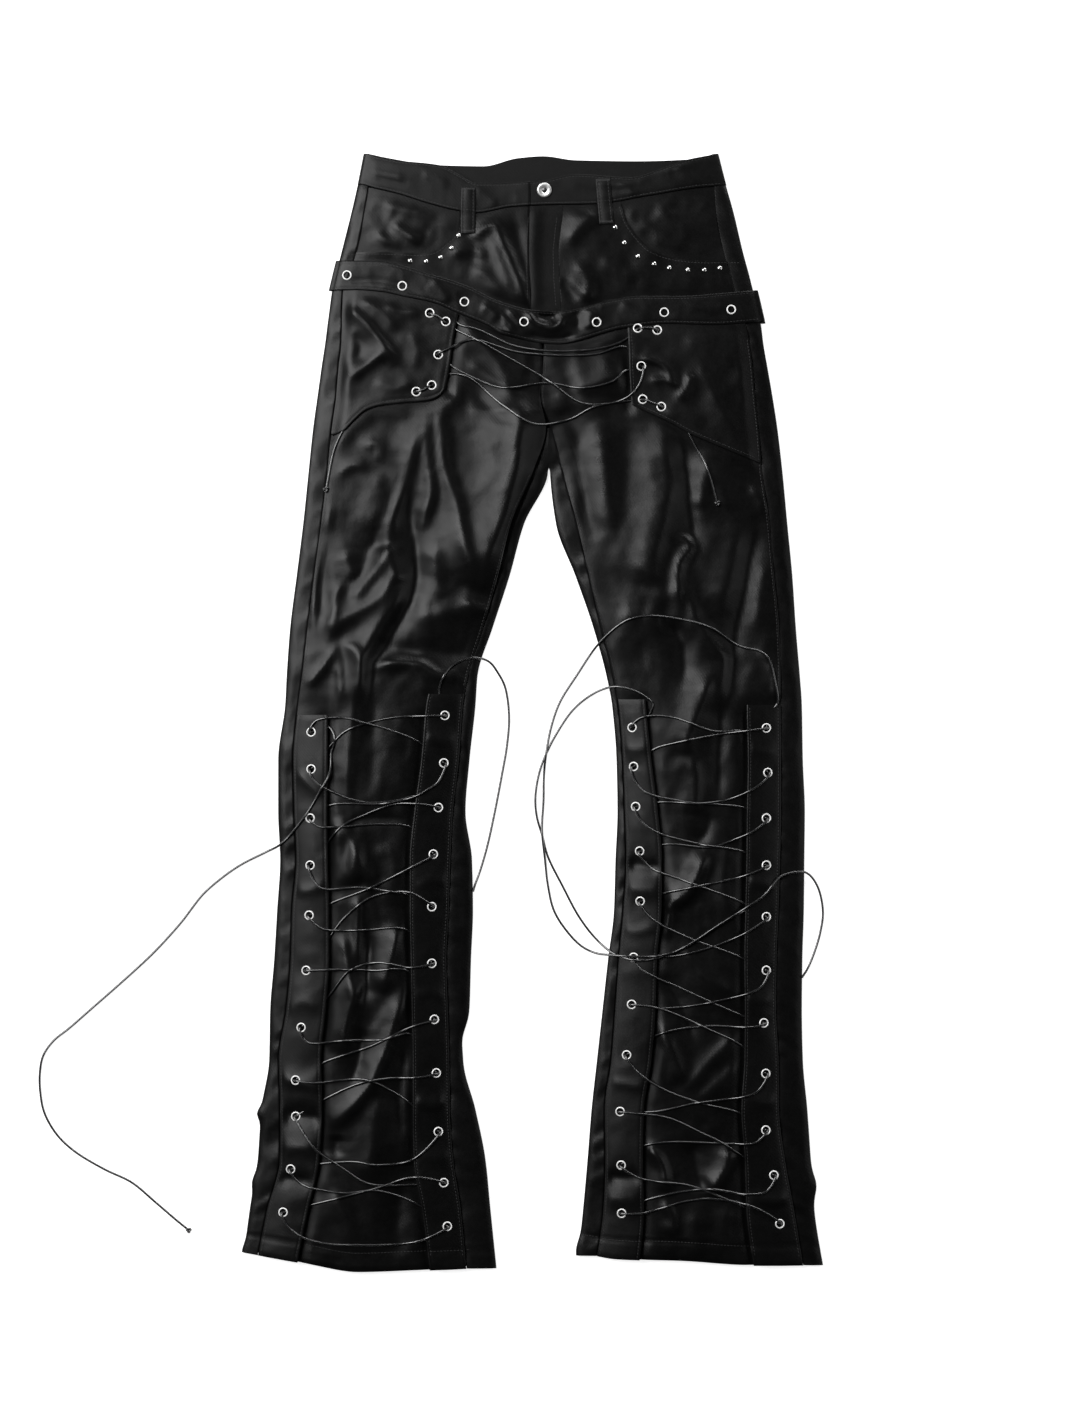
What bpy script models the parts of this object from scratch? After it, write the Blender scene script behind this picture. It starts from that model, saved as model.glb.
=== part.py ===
"""Coated jeans with laced straps, laid flat on their back.

Metres, +Z up. The floor is z = 0, the waist points to +Y, and the wearer's
right leg is on the -X side. Tables are in millimetres.
"""
import math
from bisect import bisect_right

import bmesh
import bpy
from mathutils import Vector
from mathutils.bvhtree import BVHTree

MM = 0.001

# ---- driving sizes, mm ----
SEAM_GAP = 0.3          # between two pieces that meet
WALL = 1.1              # coated denim
STRAP_WALL = 1.5        # folded strap, flap and hip band
WAISTBAND_WALL = 2.2
LAID_HEIGHT = 6.0       # front over back, laid flat
EDGE_TOP = 4.2          # the rolled edge: upper and lower corner
EDGE_LOW = 1.8
EDGE_ROLL = 8.0         # width of the roll seen from above
EDGE_FOOT = 3.5         # how far the roll is undercut at the floor
CENTRE_BACK = 15.3      # x of the seams that meet at the crotch
FORK_Y = 283.5          # where inseams and centre front meet
CROTCH_Y = 240.5
STRAP_TOP_Y = 6.5
EYELET_BORE = 7.0
LACE_RADIUS = 1.0
STRAP_LIFT = (0.3, 2.8, 3.1)    # underside over the leg: seam, eyelets, free edge
STUD_RADIUS = 2.6
KNOT_RADIUS = 2.3

# ---- the cut of each side: one row for each level, mm ----
# y, outer edge, side seam, outer strap's free edge, inner strap's free edge,
# inner seam (fly and centre front, then inseam), inner edge
RIGHT_SIDE = (
    (535, -174, -163, -134, -37, -2.5, 15),
    (500, -182, -169, -139, -38, -4, 15),
    (460, -192, -177, -146, -40, -4.5, 15),
    (436, -198, -185, -152, -41, -4, 15),
    (418, -202, -191, -156, -40, -3, 15),
    (403, -204, -191.5, -156, -40, -3, 15),
    (384, -206.5, -192, -154, -36, 2, 15),
    (368, -208.5, -192.5, -154, -33, 8.2, 15),
    (345, -212, -195, -156, -33, 9.2, 15),
    (316, -216, -197.5, -158, -34, 7, 15),
    (283.5, -220.5, -202, -163, -32, 12.5, 15),
    (240.5, -225, -206, -169, -43, 0, 14.5),
    (187.5, -230.5, -212.5, -178, -62, -22.5, -9.5),
    (135.5, -237, -219.5, -186, -74, -35.5, -24),
    (83.5, -243.5, -226, -194, -87, -50.5, -41),
    (35.5, -247, -231.5, -201, -100, -65.5, -56),
    (6.5, -248.5, -235.5, -205.5, -107, -70.5, -58),
    (-48.5, -255.5, -240.5, -205.5, -112, -74.5, -64),
    (-100.5, -255.5, -239.5, -206, -119, -80.5, -68),
    (-148.5, -253.5, -237.5, -205.5, -123.5, -83, -61.5),
    (-198.5, -256.5, -241.5, -204, -123.5, -84.5, -60.5),
    (-248.5, -259.5, -243, -204, -122.5, -87, -62.5),
    (-298.5, -263.5, -247.5, -207.5, -121.5, -85.5, -64),
    (-348.5, -264.5, -255, -212, -120.5, -84, -70),
    (-398.5, -272.5, -253.5, -211, -120.5, -83.5, -58),
    (-448.5, -276, -254, -214, -119.5, -80, -48),
    (-498.5, -284, -266.5, -225, -111, -72.5, -43),
    (-562, -292, -279, -238, -103, -66.5, -36.5),
)
LEFT_SIDE = (
    (535, 190, 180, 153, 56, 29, 15.6),
    (500, 200, 182.5, 153, 56, 29, 15.6),
    (460, 209.5, 190, 159, 57, 25, 15.6),
    (436, 216, 197, 165, 60, 26, 15.6),
    (403, 224, 206, 173, 63, 27, 15.6),
    (384, 228, 213, 177, 58, 19, 15.6),
    (368, 230, 216, 178, 52, 10.4, 15.6),
    (345, 234, 219, 180, 52, 9.5, 15.6),
    (316, 239, 221.5, 181, 51, 7.3, 15.6),
    (283.5, 244, 225, 184, 58, 18.1, 15.6),
    (240.5, 249, 228.5, 191, 71, 29, 16.5),
    (187.5, 254, 236, 200, 84, 43.5, 22.5),
    (135.5, 259, 240.5, 207, 94, 55.5, 42),
    (83.5, 262.5, 245.5, 213, 105, 67.5, 60),
    (35.5, 266.5, 247, 213, 110, 79.5, 73),
    (6.5, 268.5, 247, 213, 112, 84.5, 78.5),
    (-48.5, 269.5, 247.5, 214, 117.5, 89, 83),
    (-100.5, 271.5, 247.5, 213, 124, 91, 84),
    (-148.5, 271, 246.5, 212.5, 128, 92.5, 82),
    (-198.5, 270.5, 245, 211.5, 127.5, 89.5, 80.5),
    (-248.5, 269, 243, 210.5, 123, 85, 74.5),
    (-298.5, 268.5, 242.5, 211, 121.5, 81.5, 69),
    (-348.5, 269.5, 245, 210.5, 117.5, 77.5, 63.5),
    (-398.5, 274, 245.5, 207.5, 110, 71, 58),
    (-448.5, 277.5, 251.5, 211, 109, 71.5, 54),
    (-498.5, 281, 260.5, 212.5, 110, 69.5, 49.5),
    (-562, 291, 271, 221, 104.5, 60.5, 43),
)

# ---- lines across the garment, left to right in the picture: x, y in mm ----
WAIST_SEAM = ((-176, 527), (-134, 517), (-106, 508), (-79, 501), (-57, 498), (-22, 504),
              (13, 506), (63, 507), (113, 515), (168, 524), (193, 526))
FRONT_TOP = ((-170, 558), (-137, 551), (-94, 546), (-75, 537), (-57, 528), (-37, 528),
             (10, 531), (42, 537), (97, 534), (126, 542), (151, 551), (185, 558))
BACK_TOP = ((-170, 558.5), (-94, 547), (-50, 546), (-16, 554), (10, 556), (42, 552),
            (104, 551), (160, 553), (185, 558.5))
BAND_TOP = ((-203, 451), (-156, 450), (-100, 436), (-66, 425), (-37, 411), (0, 401),
            (24, 400), (50, 404), (76, 411), (106, 415), (148, 415), (188, 418), (228, 422))
BAND_LOW = ((-205, 421), (-177, 421), (-152, 419), (-128, 414), (-100, 408), (-76, 398),
            (-45, 385), (-30, 376), (24, 367), (92, 383), (135, 387), (180, 386), (228, 390))
HEM = ((-292, -541), (-230, -551), (-175, -560), (-110, -558), (-37, -556),
       (43, -542), (82, -547), (150, -549), (210, -553), (291, -554))

# right flap hangs on the -X side: lower outline as x, y
RIGHT_FLAP_LOW = ((-204, 275), (-189, 281), (-180, 290), (-167, 301), (-155, 305), (-131, 308),
                  (-106, 310), (-95, 314), (-88, 323))
LEFT_FLAP_LOW = ((98, 306), (120, 296), (139, 287), (155, 278), (185, 265), (229, 247))
RIGHT_FLAP_EDGE = ((397, -75), (371, -80), (342, -84), (323, -88))      # y, x
LEFT_FLAP_EDGE = ((395, 93), (368, 95), (337, 96), (306, 98))

# pocket openings, x, y from the waist down and out to the side seam
RIGHT_POCKET = ((-74, 506), (-76.5, 480), (-81, 474), (-88, 468), (-97, 461), (-107, 458),
                (-150, 459), (-190, 459))
LEFT_POCKET = ((84, 515), (87, 508), (92, 491), (98, 481), (105, 472), (114, 463), (126, 457),
               (141, 453), (164, 450.5), (205, 451))

# ---- hardware: eyelets and studs, x, y in mm ----
STRAP_EYELETS = {
    "strap_right_outseam": (
        (-222, -20.5), (-222, -57.5), (-223, -106.5), (-223, -153.5), (-224, -203.5), (-227, -258.5),
        (-232, -315.5), (-237.5, -368), (-237.5, -404.5), (-242.5, -457), (-250, -500)),
    "strap_right_inseam": (
        (-88.5, -4), (-89.5, -51.5), (-95, -96), (-100, -142.5), (-101.5, -195), (-101.5, -251.5),
        (-99, -307.5), (-97, -361), (-95, -419.5), (-89.5, -470.5), (-86, -514)),
    "strap_left_inseam": (
        (98.5, -16), (100, -55), (102, -95), (106, -139.5), (106.5, -189.5), (100, -245.5),
        (98, -292.5), (93, -343), (86.5, -399.5), (87.5, -453), (88, -501)),
    "strap_left_outseam": (
        (232.5, -16.5), (234, -61), (232.5, -106.5), (232.5, -153.5), (232.5, -205), (232.5, -258.5),
        (230, -311), (232, -361.5), (232, -418), (240, -463), (246, -511.5)),
}
BAND_EYELETS = ((-186.5, 436), (-131, 425), (-69, 409), (-9.5, 389), (63, 388.5), (130.5, 398.5),
                (197.5, 401.5))
RIGHT_FLAP_EYELETS = ((-103.5, 397.5), (-87.5, 389), (-95, 356), (-101.5, 325.5), (-117, 319))
LEFT_FLAP_EYELETS = ((123.5, 380.5), (104, 382.5), (107.5, 344.5), (109, 311.5), (127.5, 304))
RIGHT_STUDS = ((-75, 475.5), (-82, 463), (-93, 453.5), (-107.5, 449.5), (-123.5, 450))
LEFT_STUDS = ((81.5, 483.5), (90.5, 468), (104, 454.5), (120.5, 447), (135.5, 443), (154, 441),
              (170.5, 441), (186, 443))
BUTTON_AT = (10.8, 521)
RIGHT_LOOP = ((-65, 524), (-65.5, 477.5))       # middle of the top and bottom end
LEFT_LOOP = ((69, 533), (73, 486.5))
LOOP_WIDTH = 14.5

# ---- the largest folds: from x, y to x, y, height and half width in mm ----
FOLDS = (
    (-110, 282, -100, 213, 5, 10), (-100, 213, -62, 144, 5, 10),
    (-124, 267, -146, 166, 5, 9), (-146, 166, -132, 127, 6, 8),
    (-132, 127, -156, 92, 7, 10), (-156, 92, -174, 44, 6, 10),
    (-140, 120, -208, 70, 4, 9), (-146, 161, -185, 115, 3, 9),
    (-164, 38, -137, 49, 4, 9), (-137, 49, -91, 38, 4, 9), (-60, 262, -35, 246, 5, 22),
    (63, 275, 63, 202, 5, 14), (122, 279, 125, 212, 6, 14), (125, 212, 103, 175, 6, 12),
    (144, 172, 158, 165, 6, 9), (152, 155, 145, 96, 6, 9), (151, 135, 168, 95, 6, 10),
    (168, 95, 192, 40, 6, 10), (208, 172, 182, 72, 4, 13),
    (-176, 30, -182, -45, 3, 9), (-192, -120, -167, -176, 3, 9), (-184, -280, -192, -354, 3, 9),
    (-125, -265, -156, -387, 3, 10), (-176, -373, -200, -414, 3, 9), (120, -440, 122, -470, 4, 10),
    (186, -434, 180, -470, 4, 10), (122, -309, 157, -364, 3, 10),
    (-37, 489, -48, 463, 3, 8), (-35, 482, -9, 420, 4, 9), (34, 462, 55, 420, 4, 10),
    (30, 345, 80, 332, 4, 22),
)
FLAP_FOLDS = (
    (-190, 392, -150, 363, 4, 12), (-150, 363, -182, 326, 3, 12), (-172, 412, -133, 369, 4, 10),
    (-133, 369, -131, 345, 3, 10), (113, 355, 133, 345, 3, 9), (135, 335, 125, 320, 3, 9),
)

# ---- laces ----
# rows of the criss-cross down a leg: y where the strand from the strap on the -X side
# leaves its free edge, the same for the +X side, x and y where the two cross, and
# y where they go beneath the free edges of the +X and -X strap
RIGHT_CROSSINGS = (
    (-7.5, -4.5, -160.5, -10.5, -30.5, -31.5), (-80.5, -81.5, -167.5, -93.5, -86.5, -95),
    (-116.5, -92.5, -178, -112, -116.5, -119.5), (-175.5, -154.5, -164.5, -176.5, -183.5, -191.5),
    (-217.5, -181.5, -186, -219, -220.5, -226), (-257.5, -255.5, -175, -258, -262, -281.5),
    (-329.5, -314.5, -148.5, -328, -322.5, -350.5), (-370.5, -364.5, -165.5, -370, -393.5, -396.5),
    (-438.5, -446.5, -189, -453, -472.5, -451.5), (-476.5, -466.5, -161.5, -478.5, -493.5, -491.5),
)
LEFT_CROSSINGS = (
    (-5.5, -13, 184, -20, -30, -38.5), (-81.5, -78.5, 156.5, -91.5, -96.5, -90.5),
    (-121.5, -122.5, 176.5, -134.5, -140.5, -133.5), (-159.5, -164.5, 163.5, -174.5, -191.5, -181.5),
    (-211.5, -221.5, 175.5, -234.5, -245.5, -246.5), (-264.5, -281.5, 173.5, -290.5, -304.5, -296.5),
    (-298.5, -315.5, 166.5, -315.5, -335.5, -324.5), (-370.5, -382.5, 165.5, -390.5, -402.5, -400.5),
    (-400.5, -431.5, 186, -431.5, -443.5, -435.5), (-464.5, -480.5, 160.5, -478.5, -496.5, -488.5),
)
RIGHT_RUNG = ((-229, -524.5), (-173.5, -532.5), (-115.5, -529.5))
LEFT_RUNG = ((109.5, -501), (166.5, -489), (217, -496))

# free ends, x, y and what they lie on, from the straps outwards
RIGHT_END_A = (
    (-205.5, -15, "under"), (-198.5, -27, "leg"), (-198, -42, "over"), (-200, -56, "over"),
    (-208, -70, "over"), (-227, -103, "over"),
    (-252, -131, "over"), (-291, -152, "over"), (-330, -183, "over"), (-378, -239, "over"),
    (-441, -296, "over"), (-480, -329, "over"), (-494, -355, "over"), (-491, -401, "over"),
    (-459, -440, "over"), (-402, -471, "over"), (-347, -518, "over"),
)
RIGHT_END_B = (
    (-94, 22, "leg"), (-88, 38, "over"), (-70, 51, "over"), (-54, 53, "over"), (-38, 44, "over"),
    (-28, 24, "over"), (-24, -4, "over"), (-28, -48, "over"), (-39, -102, "over"),
    (-50, -148, "over"), (-57, -173, "over"),
)
LEFT_END_C = (
    (231, 11, "leg"), (240, 28, "over"), (234, 52, "over"), (212, 65, "over"), (179, 82, "over"),
    (140, 93, "over"), (96, 92, "over"), (72, 74, "over"), (43, 36, "over"), (22, 0, "over"),
    (11, -50, "over"), (9, -110, "over"), (14, -170, "over"), (27, -214, "over"), (50, -238, "over"),
    (80, -243, "over"), (120, -244, "over"), (150, -233, "over"), (190, -204, "over"),
    (231, -180, "over"), (250, -163, "over"), (270, -161, "over"), (284, -176, "over"),
    (290, -205, "over"), (283, -238, "over"), (274.5, -257, "over"),
)
LEFT_END_D = (
    (114, -5, "leg"), (120, 6, "leg"), (113, 18, "over"), (99, 22, "over"), (82, 25, "over"),
    (60, 18, "over"), (38, 0, "over"), (14, -38, "over"), (2, -80, "over"), (5, -116, "over"),
    (18, -155, "over"), (45, -206, "over"), (75, -236, "over"), (105, -251, "over"),
    (135, -246, "over"), (175, -224, "over"), (203, -203.5, "under"), (215, -198, "under"),
)

# the lace across the hips: x, y, how it lies there, and its place in the pile
HIP_ROUTE = (
    (-207, 224, "over", 0), (-199, 262, "over", 0), (-187, 286, "under", 0), (-172, 303, "under", 0),
    (-145, 316, "under", 0), (-117, 319, "up", 0), (-109, 321, "over", 0), (-101.5, 325.5, "down", 0),
    (-93, 331, "under", 1), (-84, 337, "under", 1),
    (-66, 334, "leg", 1), (-30, 305, "leg", 1), (0, 287, "leg", 1), (36, 292, "leg", 1),
    (60, 304, "leg", 1), (93, 310, "under", 1),
    (109, 311.5, "up", 0), (118, 308, "over", 0), (127.5, 304, "down", 0),
    (118, 322, "under", 0), (93.5, 341, "under", 0),
    (80, 330, "leg", 0), (50, 323, "leg", 0), (12, 328, "leg", 0), (-30, 323, "leg", 0),
    (-62, 334, "leg", 0), (-82, 345, "under", 0),
    (-95, 356, "up", 0), (-82.5, 363, "over", 1), (-62, 371, "leg", 1), (-14, 358.5, "leg", 1),
    (60, 356.5, "leg", 1), (92, 364, "under", 1),
    (107.5, 344.5, "up", 0), (107, 330, "over", 2), (97, 316, "over", 2), (78, 308, "leg", 3),
    (48, 308, "leg", 3), (12, 332, "leg", 3), (-30, 356, "leg", 3), (-57, 371, "leg", 3),
    (-73, 379, "under", 0), (-81, 383, "under", 0),
    (-87.5, 389, "up", 0), (-95, 394, "over", 0), (-103.5, 397.5, "down", 0), (-95, 399, "under", 0),
    (-84, 395, "under", 0), (-75, 387, "under", 0), (-55, 381, "leg", 0), (-14, 363.5, "leg", 0),
    (60, 361.5, "leg", 0), (91, 371, "under", 0),
    (104, 382.5, "up", 0), (114, 383, "over", 0), (123.5, 380.5, "down", 0), (136, 340, "under", 0),
    (150, 291, "under", 0), (161, 265, "over", 0), (171, 248, "over", 0), (183, 210, "over", 0),
)

# ---- colours and finish: colour, roughness, metallic ----
FINISHES = {
    "coated_denim": ((0.012, 0.012, 0.013), 0.45, 0.0),
    "inside_denim": ((0.016, 0.016, 0.017), 0.8, 0.0),
    "strap_denim": ((0.010, 0.010, 0.011), 0.42, 0.0),
    "waxed_lace": ((0.014, 0.014, 0.015), 0.5, 0.0),
    "bright_steel": ((0.62, 0.62, 0.61), 0.25, 1.0),
}


# ---------------------------------------------------------------- scene helpers
def clear_scene():
    for old in list(bpy.data.objects):
        bpy.data.objects.remove(old, do_unlink=True)


def new_collection(name):
    group = bpy.data.collections.new(name)
    bpy.context.scene.collection.children.link(group)
    return group


def finish_for(obj, name):
    colour, roughness, metallic = FINISHES[name]
    material = bpy.data.materials.new(obj.name + "_" + name)
    material.use_nodes = True
    shader = material.node_tree.nodes["Principled BSDF"]
    shader.inputs["Base Color"].default_value = (*colour, 1.0)
    shader.inputs["Roughness"].default_value = roughness
    shader.inputs["Metallic"].default_value = metallic
    obj.data.materials.append(material)


def add_mesh(name, points, faces, group):
    """An object from points in mm."""
    mesh = bpy.data.meshes.new(name)
    mesh.from_pydata([(x * MM, y * MM, z * MM) for x, y, z in points], [], faces)
    mesh.validate()
    obj = bpy.data.objects.new(name, mesh)
    group.objects.link(obj)
    return obj


def add_cutter(name, points, faces):
    cutter = add_mesh(name, points, faces, CUTTERS)
    cutter.hide_render = True
    cutter.display_type = "WIRE"
    return cutter


def thicken(obj, wall):
    """A wall laid inwards from the outer surface."""
    solid = obj.modifiers.new("wall", "SOLIDIFY")
    solid.thickness = wall * MM
    solid.offset = -1.0
    solid.use_even_offset = False


def cut(obj, cutter):
    boolean = obj.modifiers.new("cut_" + cutter.name, "BOOLEAN")
    boolean.operation = "DIFFERENCE"
    boolean.solver = "EXACT"
    boolean.object = cutter


# ---------------------------------------------------------------- smooth tables
def smooth(pairs, t):
    """Value at t on a smooth line through (t, value) pairs, without overshoot."""
    pairs = sorted(pairs)
    ts = [pair[0] for pair in pairs]
    vs = [pair[1] for pair in pairs]
    if t <= ts[0]:
        return vs[0]
    if t >= ts[-1]:
        return vs[-1]
    i = bisect_right(ts, t) - 1

    def secant(k):
        return (vs[k + 1] - vs[k]) / (ts[k + 1] - ts[k])

    def slope(k):
        if k == 0:
            return secant(0)
        if k == len(ts) - 1:
            return secant(k - 1)
        before, after = secant(k - 1), secant(k)
        if before * after <= 0:
            return 0.0
        return 2 * before * after / (before + after)

    h = ts[i + 1] - ts[i]
    u = (t - ts[i]) / h
    blend = u * u * (3 - 2 * u)
    ease_in = u * (1 - u) * (1 - u)
    ease_out = u * u * (u - 1)
    return vs[i] * (1 - blend) + vs[i + 1] * blend + h * (slope(i) * ease_in + slope(i + 1) * ease_out)


OUTER_EDGE, SIDE_SEAM, OUTER_STRAP, INNER_STRAP, INNER_SEAM, INNER_EDGE = range(1, 7)
SIDES = {"right": (RIGHT_SIDE, 1), "left": (LEFT_SIDE, -1)}     # table, way to the middle


def line_x(side, column, y):
    table = SIDES[side][0]
    return smooth([(row[0], row[column]) for row in table], y)


def level(value):
    return ((-400, value), (400, value))


# lines that rows of points follow, and how many spaces to the next
ROW_LINES = (
    (WAIST_SEAM, 3), (BAND_TOP, 2), (BAND_LOW, 4), (level(FORK_Y), 2), (level(CROTCH_Y), 8),
    (level(STRAP_TOP_Y), 15), (level(-505), 2), (HEM, 0),
)
BAND_ROWS = (3, 5)
FORK_ROW = 9
CROTCH_ROW = 11
STRAP_ROW = 19


def row_list():
    rows = []
    for k in range(len(ROW_LINES) - 1):
        upper, spaces = ROW_LINES[k]
        lower = ROW_LINES[k + 1][0]
        for step in range(spaces):
            rows.append((upper, lower, step / spaces))
    rows.append((HEM, HEM, 0.0))
    return rows


ROWS = row_list()
LAST_ROW = len(ROWS) - 1


def row_y(row, x):
    upper, lower, share = ROWS[row]
    return smooth(upper, x) * (1 - share) + smooth(lower, x) * share


def meet(row, x_of_y, start_y):
    """The point where a row crosses a line down the garment."""
    y = start_y
    for _ in range(6):
        x = x_of_y(y)
        y = row_y(row, x)
    return x_of_y(y), y


# ---------------------------------------------------------------- heights
def edge_distance(side, x, y):
    toward = SIDES[side][1]
    outer = (x - line_x(side, OUTER_EDGE, y)) * toward
    if y < CROTCH_Y:
        inner = (line_x(side, INNER_EDGE, y) - x) * toward
    else:
        inner = math.hypot(x - CENTRE_BACK, y - CROTCH_Y)
    return max(0.0, min(outer, inner))


def laid_top(side, x, y):
    """Top of the cloth without its folds: rolled edges and a flat middle."""
    reach = min(1.0, edge_distance(side, x, y) / EDGE_ROLL)
    return EDGE_TOP + (LAID_HEIGHT - EDGE_TOP) * math.sqrt(1 - (1 - reach) ** 2)


def fold_height(folds, x, y):
    total = 0.0
    for x0, y0, x1, y1, height, half in folds:
        along = Vector((x1 - x0, y1 - y0))
        reach = max(0.0, min(1.0, Vector((x - x0, y - y0)).dot(along) / along.length_squared))
        away = math.hypot(x - x0 - reach * along.x, y - y0 - reach * along.y)
        total = max(total, height * math.exp(-(away / half) ** 2))
    return total


def ease(value):
    value = max(0.0, min(1.0, value))
    return value * value * (3 - 2 * value)


FOLD_ACROSS = (0, 0, 0, 0.6, 1, 1, 1, 0.6, 0, 0, 0)     # over the columns between the straps
FLAP_BOUNDS = {"right": (-72, 270), "left": (90, 245)}  # inner edge x and lower edge y
FOLD_FADE = 15


def fold_share(side, row, column, x, y):
    """Folds die out beneath the band, the flaps and the straps."""
    if BAND_ROWS[0] <= row <= BAND_ROWS[1] or row == 0:
        return 0.0
    share = 1.0
    if row >= STRAP_ROW - 1:
        share = FOLD_ACROSS[column]
    if BAND_ROWS[1] < row < CROTCH_ROW:
        flap_edge, flap_low = FLAP_BOUNDS[side]
        past_edge = (x - flap_edge) * SIDES[side][1]
        share = max(ease(past_edge / FOLD_FADE), ease((flap_low - y) / FOLD_FADE))
    return share * ease(edge_distance(side, x, y) / FOLD_FADE)


# ---------------------------------------------------------------- front panels
FRONT_COLUMNS = 10


def front_x(side, column, y):
    toward = SIDES[side][1]
    seam = line_x(side, SIDE_SEAM, y) + SEAM_GAP / 2 * toward
    outer = line_x(side, OUTER_STRAP, y)
    inner = line_x(side, INNER_STRAP, y)
    centre = line_x(side, INNER_SEAM, y) - SEAM_GAP / 2 * toward
    if column <= 2:
        return seam + (outer - seam) * column / 2
    if column <= 8:
        return outer + (inner - outer) * (column - 2) / 6
    return inner + (centre - inner) * (column - 8) / 2


def front_grid(side):
    grid = []
    for row in range(LAST_ROW + 1):
        points = []
        for column in range(FRONT_COLUMNS + 1):
            start_y = row_y(row, 0)
            x, y = meet(row, lambda level_y, c=column: front_x(side, c, level_y), start_y)
            if row == 0:
                y -= SEAM_GAP
            z = laid_top(side, x, y)
            z += fold_height(FOLDS, x, y) * fold_share(side, row, column, x, y)
            points.append((x, y, z))
        grid.append(points)
    return grid


def grid_faces(rows, columns, flip, skip=()):
    """Triangles over a grid, all split the same way."""
    faces = []
    for row in range(rows):
        for column in range(columns):
            if (row, column) in skip:
                continue
            a = row * (columns + 1) + column
            b = a + 1
            c = a + columns + 1
            d = c + 1
            pair = [(a, c, d), (a, d, b)]
            if flip:
                pair = [tuple(reversed(face)) for face in pair]
            faces.extend(pair)
    return faces


def add_sheet(name, grid, side, wall, finish, skip=()):
    """A wall under a grid of outer points; sides mirror, so their faces turn round."""
    points = [point for line in grid for point in line]
    faces = grid_faces(len(grid) - 1, len(grid[0]) - 1, side == "left", skip)
    used = sorted({index for face in faces for index in face})
    place = {index: k for k, index in enumerate(used)}
    faces = [tuple(place[index] for index in face) for face in faces]
    obj = add_mesh(name, [points[index] for index in used], faces, JEANS)
    thicken(obj, wall)
    finish_for(obj, finish)
    return obj


def prism(name, outline, low, high):
    """An upright cutter on an outline in mm."""
    count = len(outline)
    points = [(x, y, low) for x, y in outline] + [(x, y, high) for x, y in outline]
    faces = [tuple(reversed(range(count))), tuple(range(count, 2 * count))]
    for k in range(count):
        after = (k + 1) % count
        faces.append((k, after, count + after, count + k))
    cutter = add_cutter(name, points, faces)
    shape = bmesh.new()
    shape.from_mesh(cutter.data)
    bmesh.ops.recalc_face_normals(shape, faces=shape.faces)
    shape.to_mesh(cutter.data)
    shape.free()
    return cutter


def bore_row(name, centres, low, high, sides=8):
    """One cutter of many upright bores."""
    points = []
    faces = []
    for x, y in centres:
        start = len(points)
        for z in (low, high):
            for k in range(sides):
                turn = 2 * math.pi * (k + 0.5) / sides
                points.append((x + EYELET_BORE / 2 * math.cos(turn), y + EYELET_BORE / 2 * math.sin(turn), z))
        faces.append(tuple(start + k for k in reversed(range(sides))))
        faces.append(tuple(start + sides + k for k in range(sides)))
        for k in range(sides):
            after = (k + 1) % sides
            faces.append((start + k, start + after, start + sides + after, start + sides + k))
    return add_cutter(name, points, faces)


def make_fronts():
    grids = {}
    for side, pocket in (("right", RIGHT_POCKET), ("left", LEFT_POCKET)):
        grids[side] = front_grid(side)
        panel = add_sheet("front_" + side, grids[side], side, WALL, "coated_denim")
        far = -230 if side == "right" else 240
        outline = list(pocket) + [(far, pocket[-1][1]), (far, 600), (pocket[0][0], 600)]
        cut(panel, prism("pocket_cut_" + side, outline, -5, 30))
    return grids


# ---------------------------------------------------------------- pocket facings, fly
def make_facings():
    for side, inner, low in (("right", -67, 449), ("left", 77, 441)):
        toward = SIDES[side][1]
        grid = []
        for step in range(5):
            line = []
            for column in range(7):
                share = column / 6
                y = smooth(WAIST_SEAM, inner) * (1 - step / 4) + low * step / 4
                for _ in range(4):
                    seam = line_x(side, SIDE_SEAM, y) + SEAM_GAP / 2 * toward
                    x = seam + (inner - seam) * share
                    y = (smooth(WAIST_SEAM, x) - SEAM_GAP) * (1 - step / 4) + low * step / 4
                drop = WALL + 0.4
                line.append((x, y, laid_top(side, x, y) - drop))
            grid.append(line)
        add_sheet("pocket_facing_" + side, grid, side, WALL, "coated_denim")


def make_fly(grids):
    """The fly fills the space between the two fronts down to the band's lower edge."""
    grid = []
    for row in range(BAND_ROWS[1] + 1):
        left_x, left_y, left_z = grids["right"][row][-1]
        right_x, right_y, right_z = grids["left"][row][-1]
        start = (left_x + SEAM_GAP, left_y, left_z)
        end = (right_x - SEAM_GAP, right_y, right_z)
        middle = tuple((a + b) / 2 for a, b in zip(start, end))
        grid.append([start, middle, end])
    add_sheet("fly", grid, "right", WALL, "coated_denim")
    return grid


# ---------------------------------------------------------------- back panels
BAND_RAISE = 1.9        # the back lies over the hip band here
WAIST_DIP = ((0, -29), (1, -16), (2, -5), (3, 0))     # row, how far the waist seam dips at the back


def side_point(side, row):
    """Where a row meets the side seam, on the back's own side of it."""
    gap = SEAM_GAP / 2 * SIDES[side][1]
    x, y = meet(row, lambda level_y: line_x(side, SIDE_SEAM, level_y) - gap, row_y(row, 0))
    return x, y - SEAM_GAP if row == 0 else y


def centre_back_y(row):
    """Rows run straight across the floor from side to side."""
    halfway = (side_point("right", row)[1] + side_point("left", row)[1]) / 2
    return halfway + smooth(WAIST_DIP, row)


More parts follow.
